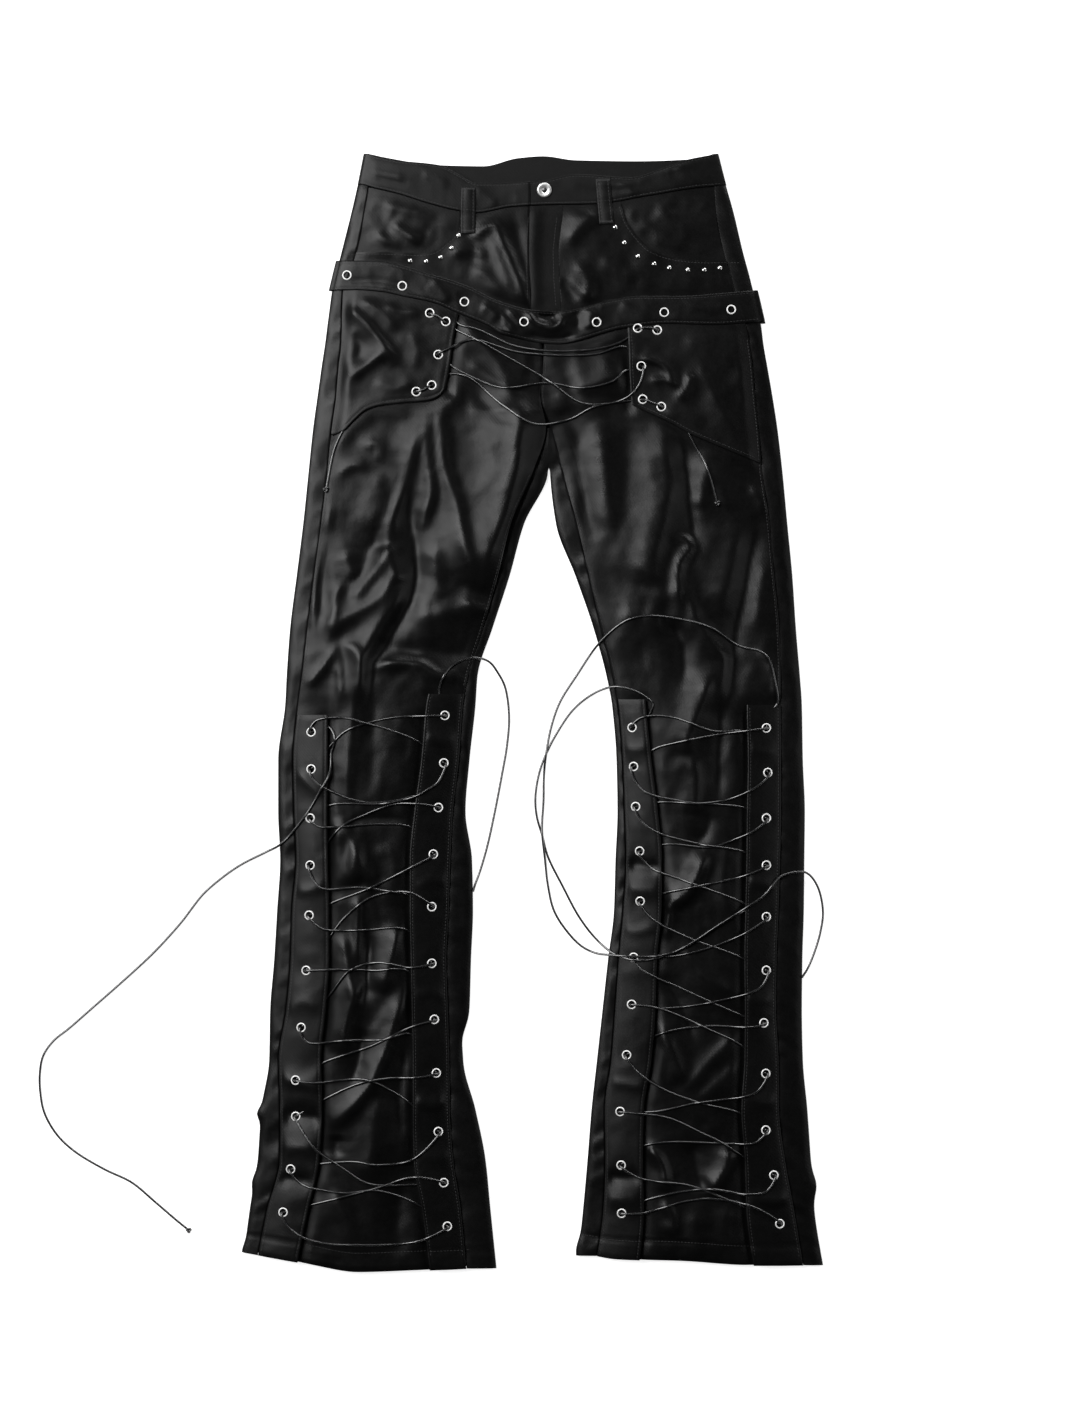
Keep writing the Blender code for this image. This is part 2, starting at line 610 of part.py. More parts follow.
def back_line(side, row):
    """One section of a back panel: inseam strip, inner roll, floor, outer roll, side strip."""
    toward = SIDES[side][1]
    gap = SEAM_GAP / 2 * toward
    x0, y0 = side_point(side, row)
    centre_y = y0
    if row < FORK_ROW:
        centre_y = centre_back_y(row)
    floor_z = BAND_RAISE if BAND_ROWS[0] <= row <= BAND_ROWS[1] else 0.0
    edge = line_x(side, OUTER_EDGE, y0)
    roll = min(EDGE_ROLL - 1, 0.6 * abs(x0 - edge))
    outer = [
        (edge + EDGE_FOOT * toward, y0, floor_z),
        (edge, y0, EDGE_LOW),
        (edge, y0, EDGE_TOP),
        (edge + roll * toward, y0, laid_top(side, edge + roll * toward, y0)),
        (x0, y0, laid_top(side, x0, y0)),
    ]
    if row < FORK_ROW:
        seam = CENTRE_BACK - gap
        hidden = (seam, centre_y, floor_z)
        return [hidden, hidden, hidden, hidden, (seam - EDGE_FOOT * toward, centre_y, floor_z)] + outer
    x1, y1 = meet(row, lambda y: line_x(side, INNER_SEAM, y) + gap, row_y(row, 0))
    if row < CROTCH_ROW:
        seam = CENTRE_BACK - gap
        roll = min(6.0, 0.45 * abs(seam - x1))
        near = seam - roll * toward
        return [
            (x1, y1, laid_top(side, x1, y1)),
            (near, y1, laid_top(side, near, y1)),
            (seam, y1, laid_top(side, seam, y1)),
            (seam, y1, 0.0),
            (seam - EDGE_FOOT * toward, y1, 0.0),
        ] + outer
    edge = line_x(side, INNER_EDGE, y1)
    roll = min(EDGE_ROLL - 1, 0.6 * abs(edge - x1))
    return [
        (x1, y1, laid_top(side, x1, y1)),
        (edge - roll * toward, y1, laid_top(side, edge - roll * toward, y1)),
        (edge, y1, EDGE_TOP),
        (edge, y1, EDGE_LOW),
        (edge - EDGE_FOOT * toward, y1, 0.0),
    ] + outer


def make_backs():
    grids = {}
    for side in SIDES:
        grid = [back_line(side, row) for row in range(LAST_ROW + 1)]
        skip = set()
        for row in range(LAST_ROW):
            if row < FORK_ROW:
                skip.update((row, column) for column in range(3))
            elif row < CROTCH_ROW:
                skip.add((row, 2))
        grids[side] = grid
        add_sheet("back_" + side, grid, side, WALL, "coated_denim", skip)
    return grids


# ---------------------------------------------------------------- waistband
def make_waistband():
    """One strip from the centre front round the back to the centre front."""
    opening = -3.0
    xs_right = [opening - SEAM_GAP / 2, -22, -38, -58, -78, -105, -135, -158]
    xs_left = [176, 150, 125, 97, 63, 42, 13, opening + SEAM_GAP / 2]
    top = LAID_HEIGHT + 0.4
    strip = []
    for x in xs_right:
        strip.append((x, smooth(FRONT_TOP, x), x, smooth(WAIST_SEAM, x) + SEAM_GAP / 2, top))
    strip.append((-167, 558, -172.5, 527.3, top - 0.6))
    strip.append((-170, 558.2, -176, 527.2, 4.6))
    strip.append((-170, 558.4, -176, 527.2, 1.6))
    strip.append((-166, 558.4, -172, 527.2, 0.0))
    for x in (-120, -50, 10, 70, 140):
        low = smooth(((-172, 527.2), (15, 500), (189, 526)), x) + SEAM_GAP / 2
        strip.append((x, smooth(BACK_TOP, x), x, low, 0.0))
    strip.append((181, 558.4, 189, 526.6, 0.0))
    strip.append((185, 558.4, 193, 526.6, 1.6))
    strip.append((185, 558.2, 193, 526.6, 4.6))
    strip.append((182, 558, 189.5, 526.6, top - 0.6))
    for x in xs_left:
        strip.append((x, smooth(FRONT_TOP, x), x, smooth(WAIST_SEAM, x) + SEAM_GAP / 2, top))
    grid = []
    for share in (0.0, 0.5, 1.0):
        grid.append([
            (top_x + (low_x - top_x) * share, top_y + (low_y - top_y) * share, z)
            for top_x, top_y, low_x, low_y, z in strip])
    add_sheet("waistband", grid, "left", WAISTBAND_WALL, "coated_denim")
    return top


# ---------------------------------------------------------------- hip band
BAND_PROUD = {"right": 3.5, "left": 5.0}


def make_hip_band(fronts, fly, backs):
    front = []
    back = []
    for row in range(BAND_ROWS[0], BAND_ROWS[1] + 1):
        lift = SEAM_GAP + STRAP_WALL
        over = {}
        edges = {}
        for side in SIDES:
            toward = SIDES[side][1]
            strip = backs[side][row]
            edge_x, edge_y, _ = strip[6]
            outer_x = edge_x - BAND_PROUD[side] * toward
            edges[side] = (outer_x, edge_y, toward)
            roll = [
                (outer_x, edge_y, 3.7),
                (outer_x, edge_y, 4.8),
                (outer_x + 1.5 * toward, edge_y, 6.6),
                (strip[8][0], strip[8][1], strip[8][2] + lift),
            ]
            panel = [(x, y, z + lift) for x, y, z in fronts[side][row]]
            over[side] = roll + panel
        middle = [(x, y, z + lift) for x, y, z in fly[row][1:2]]
        front.append(over["right"] + middle + list(reversed(over["left"])))
        right_x, right_y, _ = edges["right"]
        left_x, left_y, _ = edges["left"]
        back.append([
            (left_x, left_y, 3.3), (left_x, left_y, 2.0), (left_x - 1.0, left_y, 0.7),
            (left_x - 4, left_y, 0.0),
            (CENTRE_BACK, centre_back_y(row), 0.0),
            (right_x + 4, right_y, 0.0), (right_x + 1.0, right_y, 0.7), (right_x, right_y, 2.0),
            (right_x, right_y, 3.3)])
    band = add_sheet("hip_band_front", front, "right", STRAP_WALL, "strap_denim")
    cut(band, bore_row("band_bores", BAND_EYELETS, 3, 20))
    add_sheet("hip_band_back", back, "right", WALL, "strap_denim")
    return front


# ---------------------------------------------------------------- flaps
def make_flap(side, low, edge, eyelets):
    toward = SIDES[side][1]
    gap = SEAM_GAP + 0.1
    columns = 8
    rows = 6
    grid = []
    for row in range(rows + 1):
        line = []
        for column in range(columns + 1):
            share = column / columns
            y = 340.0
            for _ in range(8):
                seam = line_x(side, SIDE_SEAM, y) + 0.6 * toward
                x = seam + (smooth(edge, y) - seam) * share
                top_y = smooth(BAND_LOW, x) - gap
                low_y = smooth(low, x)
                y = top_y + (low_y - top_y) * row / rows
            inner = ease((x - line_x(side, SIDE_SEAM, y)) * toward / 14)
            hang = ease((top_y - y) / 14)
            lift = SEAM_GAP + (0.5 + 2.3 * inner) * (0.9 + 0.1 * hang)
            lift += fold_height(FLAP_FOLDS, x, y) * hang
            line.append((x, y, laid_top(side, x, y) + lift + STRAP_WALL))
        grid.append(line)
    flap = add_sheet("flap_" + side, grid, side, STRAP_WALL, "strap_denim")
    cut(flap, bore_row("flap_bores_" + side, eyelets, 6.5, 25))
    return grid


# ---------------------------------------------------------------- straps
def strap_grid(front, columns, top_y):
    """Points of the leg beneath, moved up; the free edge stands proud."""
    lines = []
    first = next(k for k, line in enumerate(front) if line[columns[0]][1] < top_y - 4)
    above, below = front[first - 1], front[first]
    share = (above[columns[0]][1] - top_y) / (above[columns[0]][1] - below[columns[0]][1])
    start = [tuple(a + (b - a) * share for a, b in zip(above[c], below[c])) for c in columns]
    for line in [start] + [[line[c] for c in columns] for line in front[first:]]:
        lines.append([
            (x, y, z + lift + STRAP_WALL) for (x, y, z), lift in zip(line, STRAP_LIFT)])
    return lines


def make_straps(fronts):
    grids = {}
    for name, side, columns, top_y in (
            ("strap_right_outseam", "right", (0, 1, 2), -3.5),
            ("strap_right_inseam", "right", (10, 9, 8), 17.5),
            ("strap_left_inseam", "left", (10, 9, 8), 12.0),
            ("strap_left_outseam", "left", (0, 1, 2), 6.5)):
        grid = strap_grid(fronts[side], columns, top_y)
        grids[name] = grid
        flip = (side == "right") == (columns[0] == 0)
        strap = add_sheet(name, grid, "right" if flip else "left", STRAP_WALL, "strap_denim")
        cut(strap, bore_row(name + "_bores", STRAP_EYELETS[name], 4, 30, 6))
    return grids


# ---------------------------------------------------------------- surfaces to lie on
def tree_of(grids):
    """A search tree over the upper points of some grids, mm."""
    points = []
    faces = []
    for grid in grids:
        start = len(points)
        points.extend(Vector(point) for line in grid for point in line)
        for face in grid_faces(len(grid) - 1, len(grid[0]) - 1, False):
            faces.append(tuple(start + index for index in face))
    return BVHTree.FromPolygons(points, faces)


def height_at(tree, x, y):
    hit = tree.ray_cast(Vector((x, y, 100)), Vector((0, 0, -1)))[0]
    return hit.z if hit else 0.0


def around(tree, x, y, reach):
    """Highest point within reach, so a round cord clears what it passes."""
    best = height_at(tree, x, y)
    for k in range(8):
        turn = math.pi * k / 4
        best = max(best, height_at(tree, x + reach * math.cos(turn), y + reach * math.sin(turn)))
    return best


# ---------------------------------------------------------------- laces
CORD_CLEAR = LACE_RADIUS + 0.35
CORD_APART = 2 * LACE_RADIUS + 0.35


class Stop:
    """A point of a lace: place, what it lies on, whether its height is free, its rank in a pile."""

    def __init__(self, x, y, z, lie, free, rank):
        self.x, self.y, self.z = x, y, z
        self.lie, self.free, self.rank = lie, free, rank

    def at(self):
        return Vector((self.x, self.y, self.z))


def raise_stretch(a, b, share, need):
    """Lift a stretch by need at share of its length, moving only its free ends."""
    if a.free and b.free:
        a.z += need * (1 - share) * 1.1
        b.z += need * share * 1.1
    elif a.free:
        a.z += min(need / max(1 - share, 0.3), 2.0)
    elif b.free:
        b.z += min(need / max(share, 0.3), 2.0)


def settle(route, trees):
    """Lift a lace until no stretch of it cuts what it lies on."""
    for _ in range(12):
        for a, b in zip(route, route[1:]):
            tree = trees[a.lie if a.lie == b.lie else "leg"]
            count = max(2, int(math.hypot(b.x - a.x, b.y - a.y) / 2))
            for k in range(1, count):
                share = k / count
                x, y, z = a.at().lerp(b.at(), share)
                need = around(tree, x, y, 1.2) + CORD_CLEAR - z
                if need > 0.02:
                    raise_stretch(a, b, share, need)


def nearest(a, b, c, d):
    """Least distance between two stretches, and where along each."""
    ab, cd, ca = b - a, d - c, a - c
    aa, cc, ac = ab.dot(ab), cd.dot(cd), ab.dot(cd)
    ab_ca, cd_ca = ab.dot(ca), cd.dot(ca)
    below = aa * cc - ac * ac
    s = 0.5 if below < 1e-9 else (ac * cd_ca - cc * ab_ca) / below
    s = max(0.0, min(1.0, s))
    t = max(0.0, min(1.0, (ac * s + cd_ca) / cc))
    s = max(0.0, min(1.0, (ac * t - ab_ca) / aa))
    return (a + ab * s - c - cd * t).length, s, t


def part_crossings(route):
    """Lift the strand of higher rank wherever two come too near."""
    stretches = list(zip(route, route[1:]))
    for _ in range(14):
        for i, (a, b) in enumerate(stretches):
            for c, d in stretches[i + 2:]:
                apart, s, t = nearest(a.at(), b.at(), c.at(), d.at())
                if apart >= CORD_APART:
                    continue
                need = (CORD_APART - apart) * 1.1 + 0.05
                if a.rank + b.rank > c.rank + d.rank:
                    raise_stretch(a, b, s, need)
                else:
                    raise_stretch(c, d, t, need)


def lay(x, y, lie, trees, rank=0, extra=0.0):
    return Stop(x, y, around(trees[lie], x, y, 1.2) + CORD_CLEAR + extra, lie, True, rank)


def beneath(x, y, trees, rank=0):
    """A point between the leg and the strap or flap over it."""
    return Stop(x, y, around(trees["leg"], x, y, 1.0) + CORD_CLEAR, "leg", False, rank)


def eyelet_pair(x, y, toward, trees, rising):
    """Two points that take a lace through an eyelet, from beneath and out over the strap."""
    under = beneath(x - 1.5 * toward, y, trees)
    over = Stop(x - 0.5 * toward, y, around(trees["over"], x, y, 4.6) + CORD_CLEAR, "over", False, 0)
    return [under, over] if rising else [over, under]


def criss_cross(side, start, crossings, trees):
    """Half of the lacing down a leg, from the strap at start ("-X" or "+X")."""
    names = {
        "right": {"-X": "strap_right_outseam", "+X": "strap_right_inseam"},
        "left": {"-X": "strap_left_inseam", "+X": "strap_left_outseam"}}[side]
    columns = {
        "right": {"-X": OUTER_STRAP, "+X": INNER_STRAP},
        "left": {"-X": INNER_STRAP, "+X": OUTER_STRAP}}[side]
    toward = {"-X": 1, "+X": -1}
    here = start
    stops = []
    for row in range(11):
        x, y = STRAP_EYELETS[names[here]][row]
        stops += eyelet_pair(x, y, toward[here], trees, True)
        if row == 10:
            break
        there = "+X" if here == "-X" else "-X"
        leave_minus, leave_plus, cross_x, cross_y, arrive_plus, arrive_minus = crossings[row]
        leave_y, arrive_y = (leave_minus, arrive_plus) if here == "-X" else (leave_plus, arrive_minus)
        rank = 2 if (row % 2 == 0) == (here == "-X") else 1
        edge_x = line_x(side, columns[here], leave_y)
        rim = around(trees["over"], edge_x - 2.5 * toward[here], leave_y, 1.4) + CORD_CLEAR
        stops.append(Stop(edge_x + 0.4 * toward[here], leave_y, rim, "over", True, 0))
        stops.append(lay(cross_x, cross_y, "leg", trees, rank, CORD_APART * (rank - 1)))
        edge_x = line_x(side, columns[there], arrive_y)
        stops.append(beneath(edge_x - 2.0 * toward[there], arrive_y, trees))
        here = there
    return stops, here


def free_end(points, trees, rank):
    return [
        beneath(x, y, trees, rank) if lie == "under" else lay(x, y, lie, trees, rank)
        for x, y, lie in points]


def leg_lace(side, crossings, rung, first_end, last_end, trees):
    """A free end, down one half of the criss-cross, the rung, up the other half, a free end."""
    down, foot = criss_cross(side, "-X", crossings, trees)
    up, _ = criss_cross(side, "+X", crossings, trees)
    across = [lay(x, y, "over", trees, 3) for x, y in rung]
    if foot == "+X":
        across.reverse()
    route = list(reversed(first_end)) + down + across + list(reversed(up)) + last_end
    for _ in range(2):
        settle(route, trees)
        part_crossings(route)
    return route


def add_cord(name, route):
    curve = bpy.data.curves.new(name, "CURVE")
    curve.dimensions = "3D"
    curve.bevel_depth = LACE_RADIUS * MM
    curve.bevel_resolution = 2
    curve.use_fill_caps = True
    spline = curve.splines.new("POLY")
    spline.points.add(len(route) - 1)
    for point, stop in zip(spline.points, route):
        point.co = (*(stop.at() * MM), 1.0)
    obj = bpy.data.objects.new(name, curve)
    JEANS.objects.link(obj)
    finish_for(obj, "waxed_lace")
    return obj


def add_knot(name, end, before, trees):
    """A small tight knot past the end of a lace."""
    way = end.at() - before.at()
    at = end.at() + way.normalized() * (KNOT_RADIUS + SEAM_GAP)
    at.z = around(trees["over"], at.x, at.y, KNOT_RADIUS) + KNOT_RADIUS + 0.1
    shape = bmesh.new()
    bmesh.ops.create_uvsphere(shape, u_segments=8, v_segments=5, radius=KNOT_RADIUS * MM)
    mesh = bpy.data.meshes.new(name)
    shape.to_mesh(mesh)
    shape.free()
    obj = bpy.data.objects.new(name, mesh)
    obj.location = at * MM
    JEANS.objects.link(obj)
    finish_for(obj, "waxed_lace")


def make_leg_laces(trees):
    right = leg_lace(
        "right", RIGHT_CROSSINGS, RIGHT_RUNG,
        free_end(RIGHT_END_A, trees, 3), free_end(RIGHT_END_B, trees, 3), trees)
    left = leg_lace(
        "left", LEFT_CROSSINGS, LEFT_RUNG,
        free_end(LEFT_END_D, trees, 3), free_end(LEFT_END_C, trees, 4), trees)
    add_cord("lace_leg_right", right)
    add_cord("lace_leg_left", left)
    add_knot("knot_leg_right", right[0], right[1], trees)


def make_hip_lace(trees):
    route = []
    for x, y, lie, rank in HIP_ROUTE:
        toward = 1 if x < 0 else -1
        if lie == "under":
            route.append(beneath(x, y, trees, rank))
        elif lie in ("up", "down"):
            route += eyelet_pair(x, y, toward, trees, lie == "up")
        elif lie == "over":
            route.append(Stop(x, y, around(trees["over"], x, y, 2.5) + CORD_CLEAR, "over", True, rank))
        else:
            route.append(lay(x, y, "leg", trees, rank, CORD_APART * min(rank, 2)))
    for _ in range(2):
        settle(route, trees)
        part_crossings(route)
    add_cord("lace_hip", route)
    add_knot("knot_hip_right", route[0], route[1], trees)
    add_knot("knot_hip_left", route[-1], route[-2], trees)


# ---------------------------------------------------------------- hardware and loops
def turned(name, profile, steps, place):
    """A round piece of bright metal from its profile, radius and height in mm, top to bottom."""
    mesh = bpy.data.meshes.new(name)
    points = [(radius * MM, 0, height * MM) for radius, height in profile]
    mesh.from_pydata(points, [(k, k + 1) for k in range(len(profile) - 1)], [])
    obj = bpy.data.objects.new(name, mesh)
    obj.location = Vector(place) * MM
    JEANS.objects.link(obj)
    screw = obj.modifiers.new("turn", "SCREW")
    screw.steps = steps
    screw.render_steps = steps
    screw.use_merge_vertices = True
    screw.merge_threshold = 0.00005
    finish_for(obj, "bright_steel")


BUTTON_PROFILE = ((0.0, 2.7), (2.6, 2.7), (3.4, 3.9), (6.2, 3.9), (7.6, 3.0), (7.6, 2.2), (3.2, 1.6),
                  (3.2, 0.0), (0.0, 0.0))
STUD_PROFILE = ((0.0, 1.8), (1.5, 1.5), (2.4, 0.8), (2.6, 0.0), (0.0, 0.0))


def make_studs(trees):
    for side, places in (("right", RIGHT_STUDS), ("left", LEFT_STUDS)):
        for number, (x, y) in enumerate(places, 1):
            name = f"stud_{side}_{number}"
            z = around(trees["leg"], x, y, STUD_RADIUS) + SEAM_GAP
            turned(name, STUD_PROFILE, 8, (x, y, z))


def make_loops(trees, waistband_top):
    for side, (upper, lower) in (("right", RIGHT_LOOP), ("left", LEFT_LOOP)):
        grid = []
        seam_y = smooth(WAIST_SEAM, upper[0])
        for y in (upper[1], seam_y + 1, seam_y - 12, lower[1]):
            share = (upper[1] - y) / (upper[1] - lower[1])
            x = upper[0] + (lower[0] - upper[0]) * share
            z = waistband_top
            if y < seam_y:
                z = max(around(trees["leg"], x, y, LOOP_WIDTH / 2), waistband_top)
            z += SEAM_GAP + 1.3
            grid.append([(x - LOOP_WIDTH / 2, y, z), (x + LOOP_WIDTH / 2, y, z)])
        add_sheet("belt_loop_" + side, grid, "right", 1.3, "coated_denim")


# ---------------------------------------------------------------- the whole garment
clear_scene()
JEANS = new_collection("coated_jeans")
CUTTERS = new_collection("cutters")

fronts = make_fronts()
make_facings()
fly = make_fly(fronts)
backs = make_backs()
waistband_top = make_waistband()
band = make_hip_band(fronts, fly, backs)
flaps = [
    make_flap("right", RIGHT_FLAP_LOW, RIGHT_FLAP_EDGE, RIGHT_FLAP_EYELETS),
    make_flap("left", LEFT_FLAP_LOW, LEFT_FLAP_EDGE, LEFT_FLAP_EYELETS),
]
straps = make_straps(fronts)

# what laces lie on: the legs alone, or with all that is sewn over them
leg_grids = list(fronts.values()) + list(backs.values()) + [fly]
TREES = {
    "leg": tree_of(leg_grids),
    "over": tree_of(leg_grids + list(straps.values()) + flaps + [band]),
}
make_leg_laces(TREES)
make_hip_lace(TREES)
turned("button", BUTTON_PROFILE, 14, (*BUTTON_AT, waistband_top + SEAM_GAP))
make_studs(TREES)
make_loops(TREES, waistband_top)
CUTTERS.hide_render = True
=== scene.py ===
import math

import bmesh
import bpy
import numpy as np
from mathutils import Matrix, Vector
from mathutils.bvhtree import BVHTree


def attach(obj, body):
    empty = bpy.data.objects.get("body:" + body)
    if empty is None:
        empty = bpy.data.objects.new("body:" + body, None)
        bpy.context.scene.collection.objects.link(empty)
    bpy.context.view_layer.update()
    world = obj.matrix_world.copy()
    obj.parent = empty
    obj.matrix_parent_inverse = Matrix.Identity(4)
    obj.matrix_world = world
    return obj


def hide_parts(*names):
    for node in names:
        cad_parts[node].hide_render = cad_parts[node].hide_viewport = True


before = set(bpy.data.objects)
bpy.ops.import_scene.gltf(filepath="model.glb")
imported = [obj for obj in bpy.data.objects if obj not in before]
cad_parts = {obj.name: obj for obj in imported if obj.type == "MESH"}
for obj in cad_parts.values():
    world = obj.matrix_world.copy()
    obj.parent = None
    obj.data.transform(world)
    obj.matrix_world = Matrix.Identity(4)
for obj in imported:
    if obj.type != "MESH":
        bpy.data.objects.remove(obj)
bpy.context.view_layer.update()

mm = 0.001      # every size below is in millimetres


# the camera looks straight down on the laid garment, and the picture is 1.428 m high
picture = {"lens": 100, "sensor": 36, "high": 1428, "middle": (2, -2.5), "clothTop": 7, "clipEnd": 50}
# soft lamps that face the garment: where each stands, its size and its strength
lamps = {
    "keyLamp": {"at": (-2050, 1250, 3250), "size": (2400, 2400), "watts": 164},
    "rimLamp": {"at": (1500, 2900, 1500), "size": (3000, 700), "watts": 62},
    "fillLamp": {"at": (2400, 0, 1500), "size": (1200, 2400), "watts": 10},
}
room = {"white": 0.8, "rough": 0.9, "glow": 0.014, "floorGlow": 0.82, "floorSize": 9000, "floorSink": 0.4}


def addObject(name, data):
    piece = bpy.data.objects.new(name, data)
    bpy.context.scene.collection.objects.link(piece)
    return piece


# makes one piece, or several with the first one active, the selection
def pick(*pieces):
    bpy.ops.object.select_all(action="DESELECT")
    for piece in pieces:
        piece.select_set(True)
    bpy.context.view_layer.objects.active = pieces[0]


# a value may also be another node's output, which is linked
def setInputs(tree, node, values):
    for socket, value in values.items():
        if isinstance(value, bpy.types.NodeSocket):
            tree.links.new(value, node.inputs[socket])
        else:
            node.inputs[socket].default_value = value


def addNode(tree, kind, values=None, **settings):
    node = tree.nodes.new(kind)
    for name, value in settings.items():
        setattr(node, name, value)
    setInputs(tree, node, values or {})
    return node


def newMaterial(name):
    material = bpy.data.materials.new(name)
    material.use_nodes = True
    return material, material.node_tree, material.node_tree.nodes["Principled BSDF"]


def grey(value):
    return (value, value, value, 1)


def addCamera():
    data = bpy.data.cameras.new("camera")
    data.lens, data.sensor_width, data.clip_end = picture["lens"], picture["sensor"], picture["clipEnd"]
    camera = addObject("camera", data)
    away = picture["high"] * picture["lens"] / picture["sensor"] + picture["clothTop"]
    camera.location = Vector((*picture["middle"], away)) * mm
    bpy.context.scene.camera = camera


def addLamps():
    world = bpy.data.worlds.new("room")
    world.use_nodes = True
    sky = world.node_tree.nodes["Background"]
    setInputs(world.node_tree, sky, {"Color": grey(1), "Strength": room["glow"]})
    bpy.context.scene.world = world
    for name, lamp in lamps.items():
        data = bpy.data.lights.new(name, "AREA")
        data.shape = "RECTANGLE"
        data.size, data.size_y = (side * mm for side in lamp["size"])
        data.energy = lamp["watts"]
        light = addObject(name, data)
        light.location = Vector(lamp["at"]) * mm
        light.rotation_euler = (-light.location).to_track_quat("-Z", "Y").to_euler()


def addFloor():
    bpy.ops.mesh.primitive_plane_add(size=room["floorSize"] * mm, location=(0, 0, -room["floorSink"] * mm))
    floor = bpy.context.object
    floor.name = "floor"
    paint, tree, shader = newMaterial("floorPaint")
    setInputs(tree, shader, {"Base Color": grey(room["white"]), "Roughness": room["rough"],
                             "Emission Color": grey(1), "Emission Strength": room["floorGlow"]})
    floor.data.materials.append(paint)


addCamera()
addLamps()
addFloor()
bpy.context.scene.view_settings.view_transform = "Standard"
print("camera, lamps and floor")


# what the whole garment shares
cloth = {
    "gap": 0.3, "wall": 1.1, "strapWall": 1.5, "bandWall": 2.2,
    "laidHigh": 6.0, "edgeTop": 4.2, "edgeRoll": 8.0, "edgeFoot": 3.5, "dome": 5.5, "domeReach": 40.0,
    "seamSink": 1.1, "seamWide": 5.0, "roundDeep": 0.4, "roundWide": 0.9,
    "hemHigh": 19.0, "hemDeep": 0.55, "hemWide": 1.5, "smoothAngle": 55,
    "centreBack": 15.3, "forkY": 283.5, "crotchY": 240.5, "strapTopY": 6.5, "aboveHemY": -505,
}
# y, outer edge, side seam, outer strap's free edge, inner strap's free edge, inner seam, inner edge
rightSide = (
    (535, -174, -163, -134, -37, -2.5, 15),
    (500, -182, -169, -139, -38, -4, 15),
    (460, -192, -177, -146, -40, -4.5, 15),
    (436, -198, -185, -152, -41, -4, 15),
    (418, -202, -191, -156, -40, -3, 15),
    (403, -204, -191.5, -156, -40, -3, 15),
    (384, -206.5, -192, -154, -36, 2, 15),
    (368, -208.5, -192.5, -154, -33, 8.2, 15),
    (345, -212, -195, -156, -33, 9.2, 15),
    (316, -216, -197.5, -158, -34, 7, 15),
    (283.5, -220.5, -202, -163, -32, 12.5, 15),
    (240.5, -225, -206, -169, -43, 0, 14.5),
    (187.5, -230.5, -212.5, -178, -62, -22.5, -9.5),
    (135.5, -237, -219.5, -186, -74, -35.5, -24),
    (83.5, -243.5, -226, -194, -87, -50.5, -41),
    (35.5, -247, -231.5, -201, -100, -65.5, -56),
    (6.5, -248.5, -235.5, -205.5, -107, -70.5, -58),
    (-48.5, -255.5, -240.5, -205.5, -112, -74.5, -64),
    (-100.5, -255.5, -239.5, -206, -119, -80.5, -68),
    (-148.5, -253.5, -237.5, -205.5, -123.5, -83, -61.5),
    (-198.5, -256.5, -241.5, -204, -123.5, -84.5, -60.5),
    (-248.5, -259.5, -243, -204, -122.5, -87, -62.5),
    (-298.5, -263.5, -247.5, -207.5, -121.5, -85.5, -64),
    (-348.5, -264.5, -255, -212, -120.5, -84, -70),
    (-398.5, -272.5, -253.5, -211, -120.5, -83.5, -58),
    (-448.5, -276, -254, -214, -119.5, -80, -48),
    (-498.5, -284, -266.5, -225, -111, -72.5, -43),
    (-562, -292, -279, -238, -103, -66.5, -36.5),
)
leftSide = (
    (535, 190, 180, 153, 56, 29, 15.6),
    (500, 200, 182.5, 153, 56, 29, 15.6),
    (460, 209.5, 190, 159, 57, 25, 15.6),
    (436, 216, 197, 165, 60, 26, 15.6),
    (403, 224, 206, 173, 63, 27, 15.6),
    (384, 228, 213, 177, 58, 19, 15.6),
    (368, 230, 216, 178, 52, 10.4, 15.6),
    (345, 234, 219, 180, 52, 9.5, 15.6),
    (316, 239, 221.5, 181, 51, 7.3, 15.6),
    (283.5, 244, 225, 184, 58, 18.1, 15.6),
    (240.5, 249, 228.5, 191, 71, 29, 16.5),
    (187.5, 254, 236, 200, 84, 43.5, 22.5),
    (135.5, 259, 240.5, 207, 94, 55.5, 42),
    (83.5, 262.5, 245.5, 213, 105, 67.5, 60),
    (35.5, 266.5, 247, 213, 110, 79.5, 73),
    (6.5, 268.5, 247, 213, 112, 84.5, 78.5),
    (-48.5, 269.5, 247.5, 214, 117.5, 89, 83),
    (-100.5, 271.5, 247.5, 213, 124, 91, 84),
    (-148.5, 271, 246.5, 212.5, 128, 92.5, 82),
    (-198.5, 270.5, 245, 211.5, 127.5, 89.5, 80.5),
    (-248.5, 269, 243, 210.5, 123, 85, 74.5),
    (-298.5, 268.5, 242.5, 211, 121.5, 81.5, 69),
    (-348.5, 269.5, 245, 210.5, 117.5, 77.5, 63.5),
    (-398.5, 274, 245.5, 207.5, 110, 71, 58),
    (-448.5, 277.5, 251.5, 211, 109, 71.5, 54),
    (-498.5, 281, 260.5, 212.5, 110, 69.5, 49.5),
    (-562, 291, 271, 221, 104.5, 60.5, 43),
)
# short jogs of the outline where a fold turns over: y, half length and shift in x
jogs = {
    "right": {"outerEdge": ((-402, 7, -4.0), (-470, 9, -2.5), (-540, 10, -2.5)),
              "innerEdge": ((-326, 15, -3.0),)},
    "left": {"outerEdge": ((-474, 13, 4.0),), "innerEdge": ((-538, 12, -3.0),)},
}


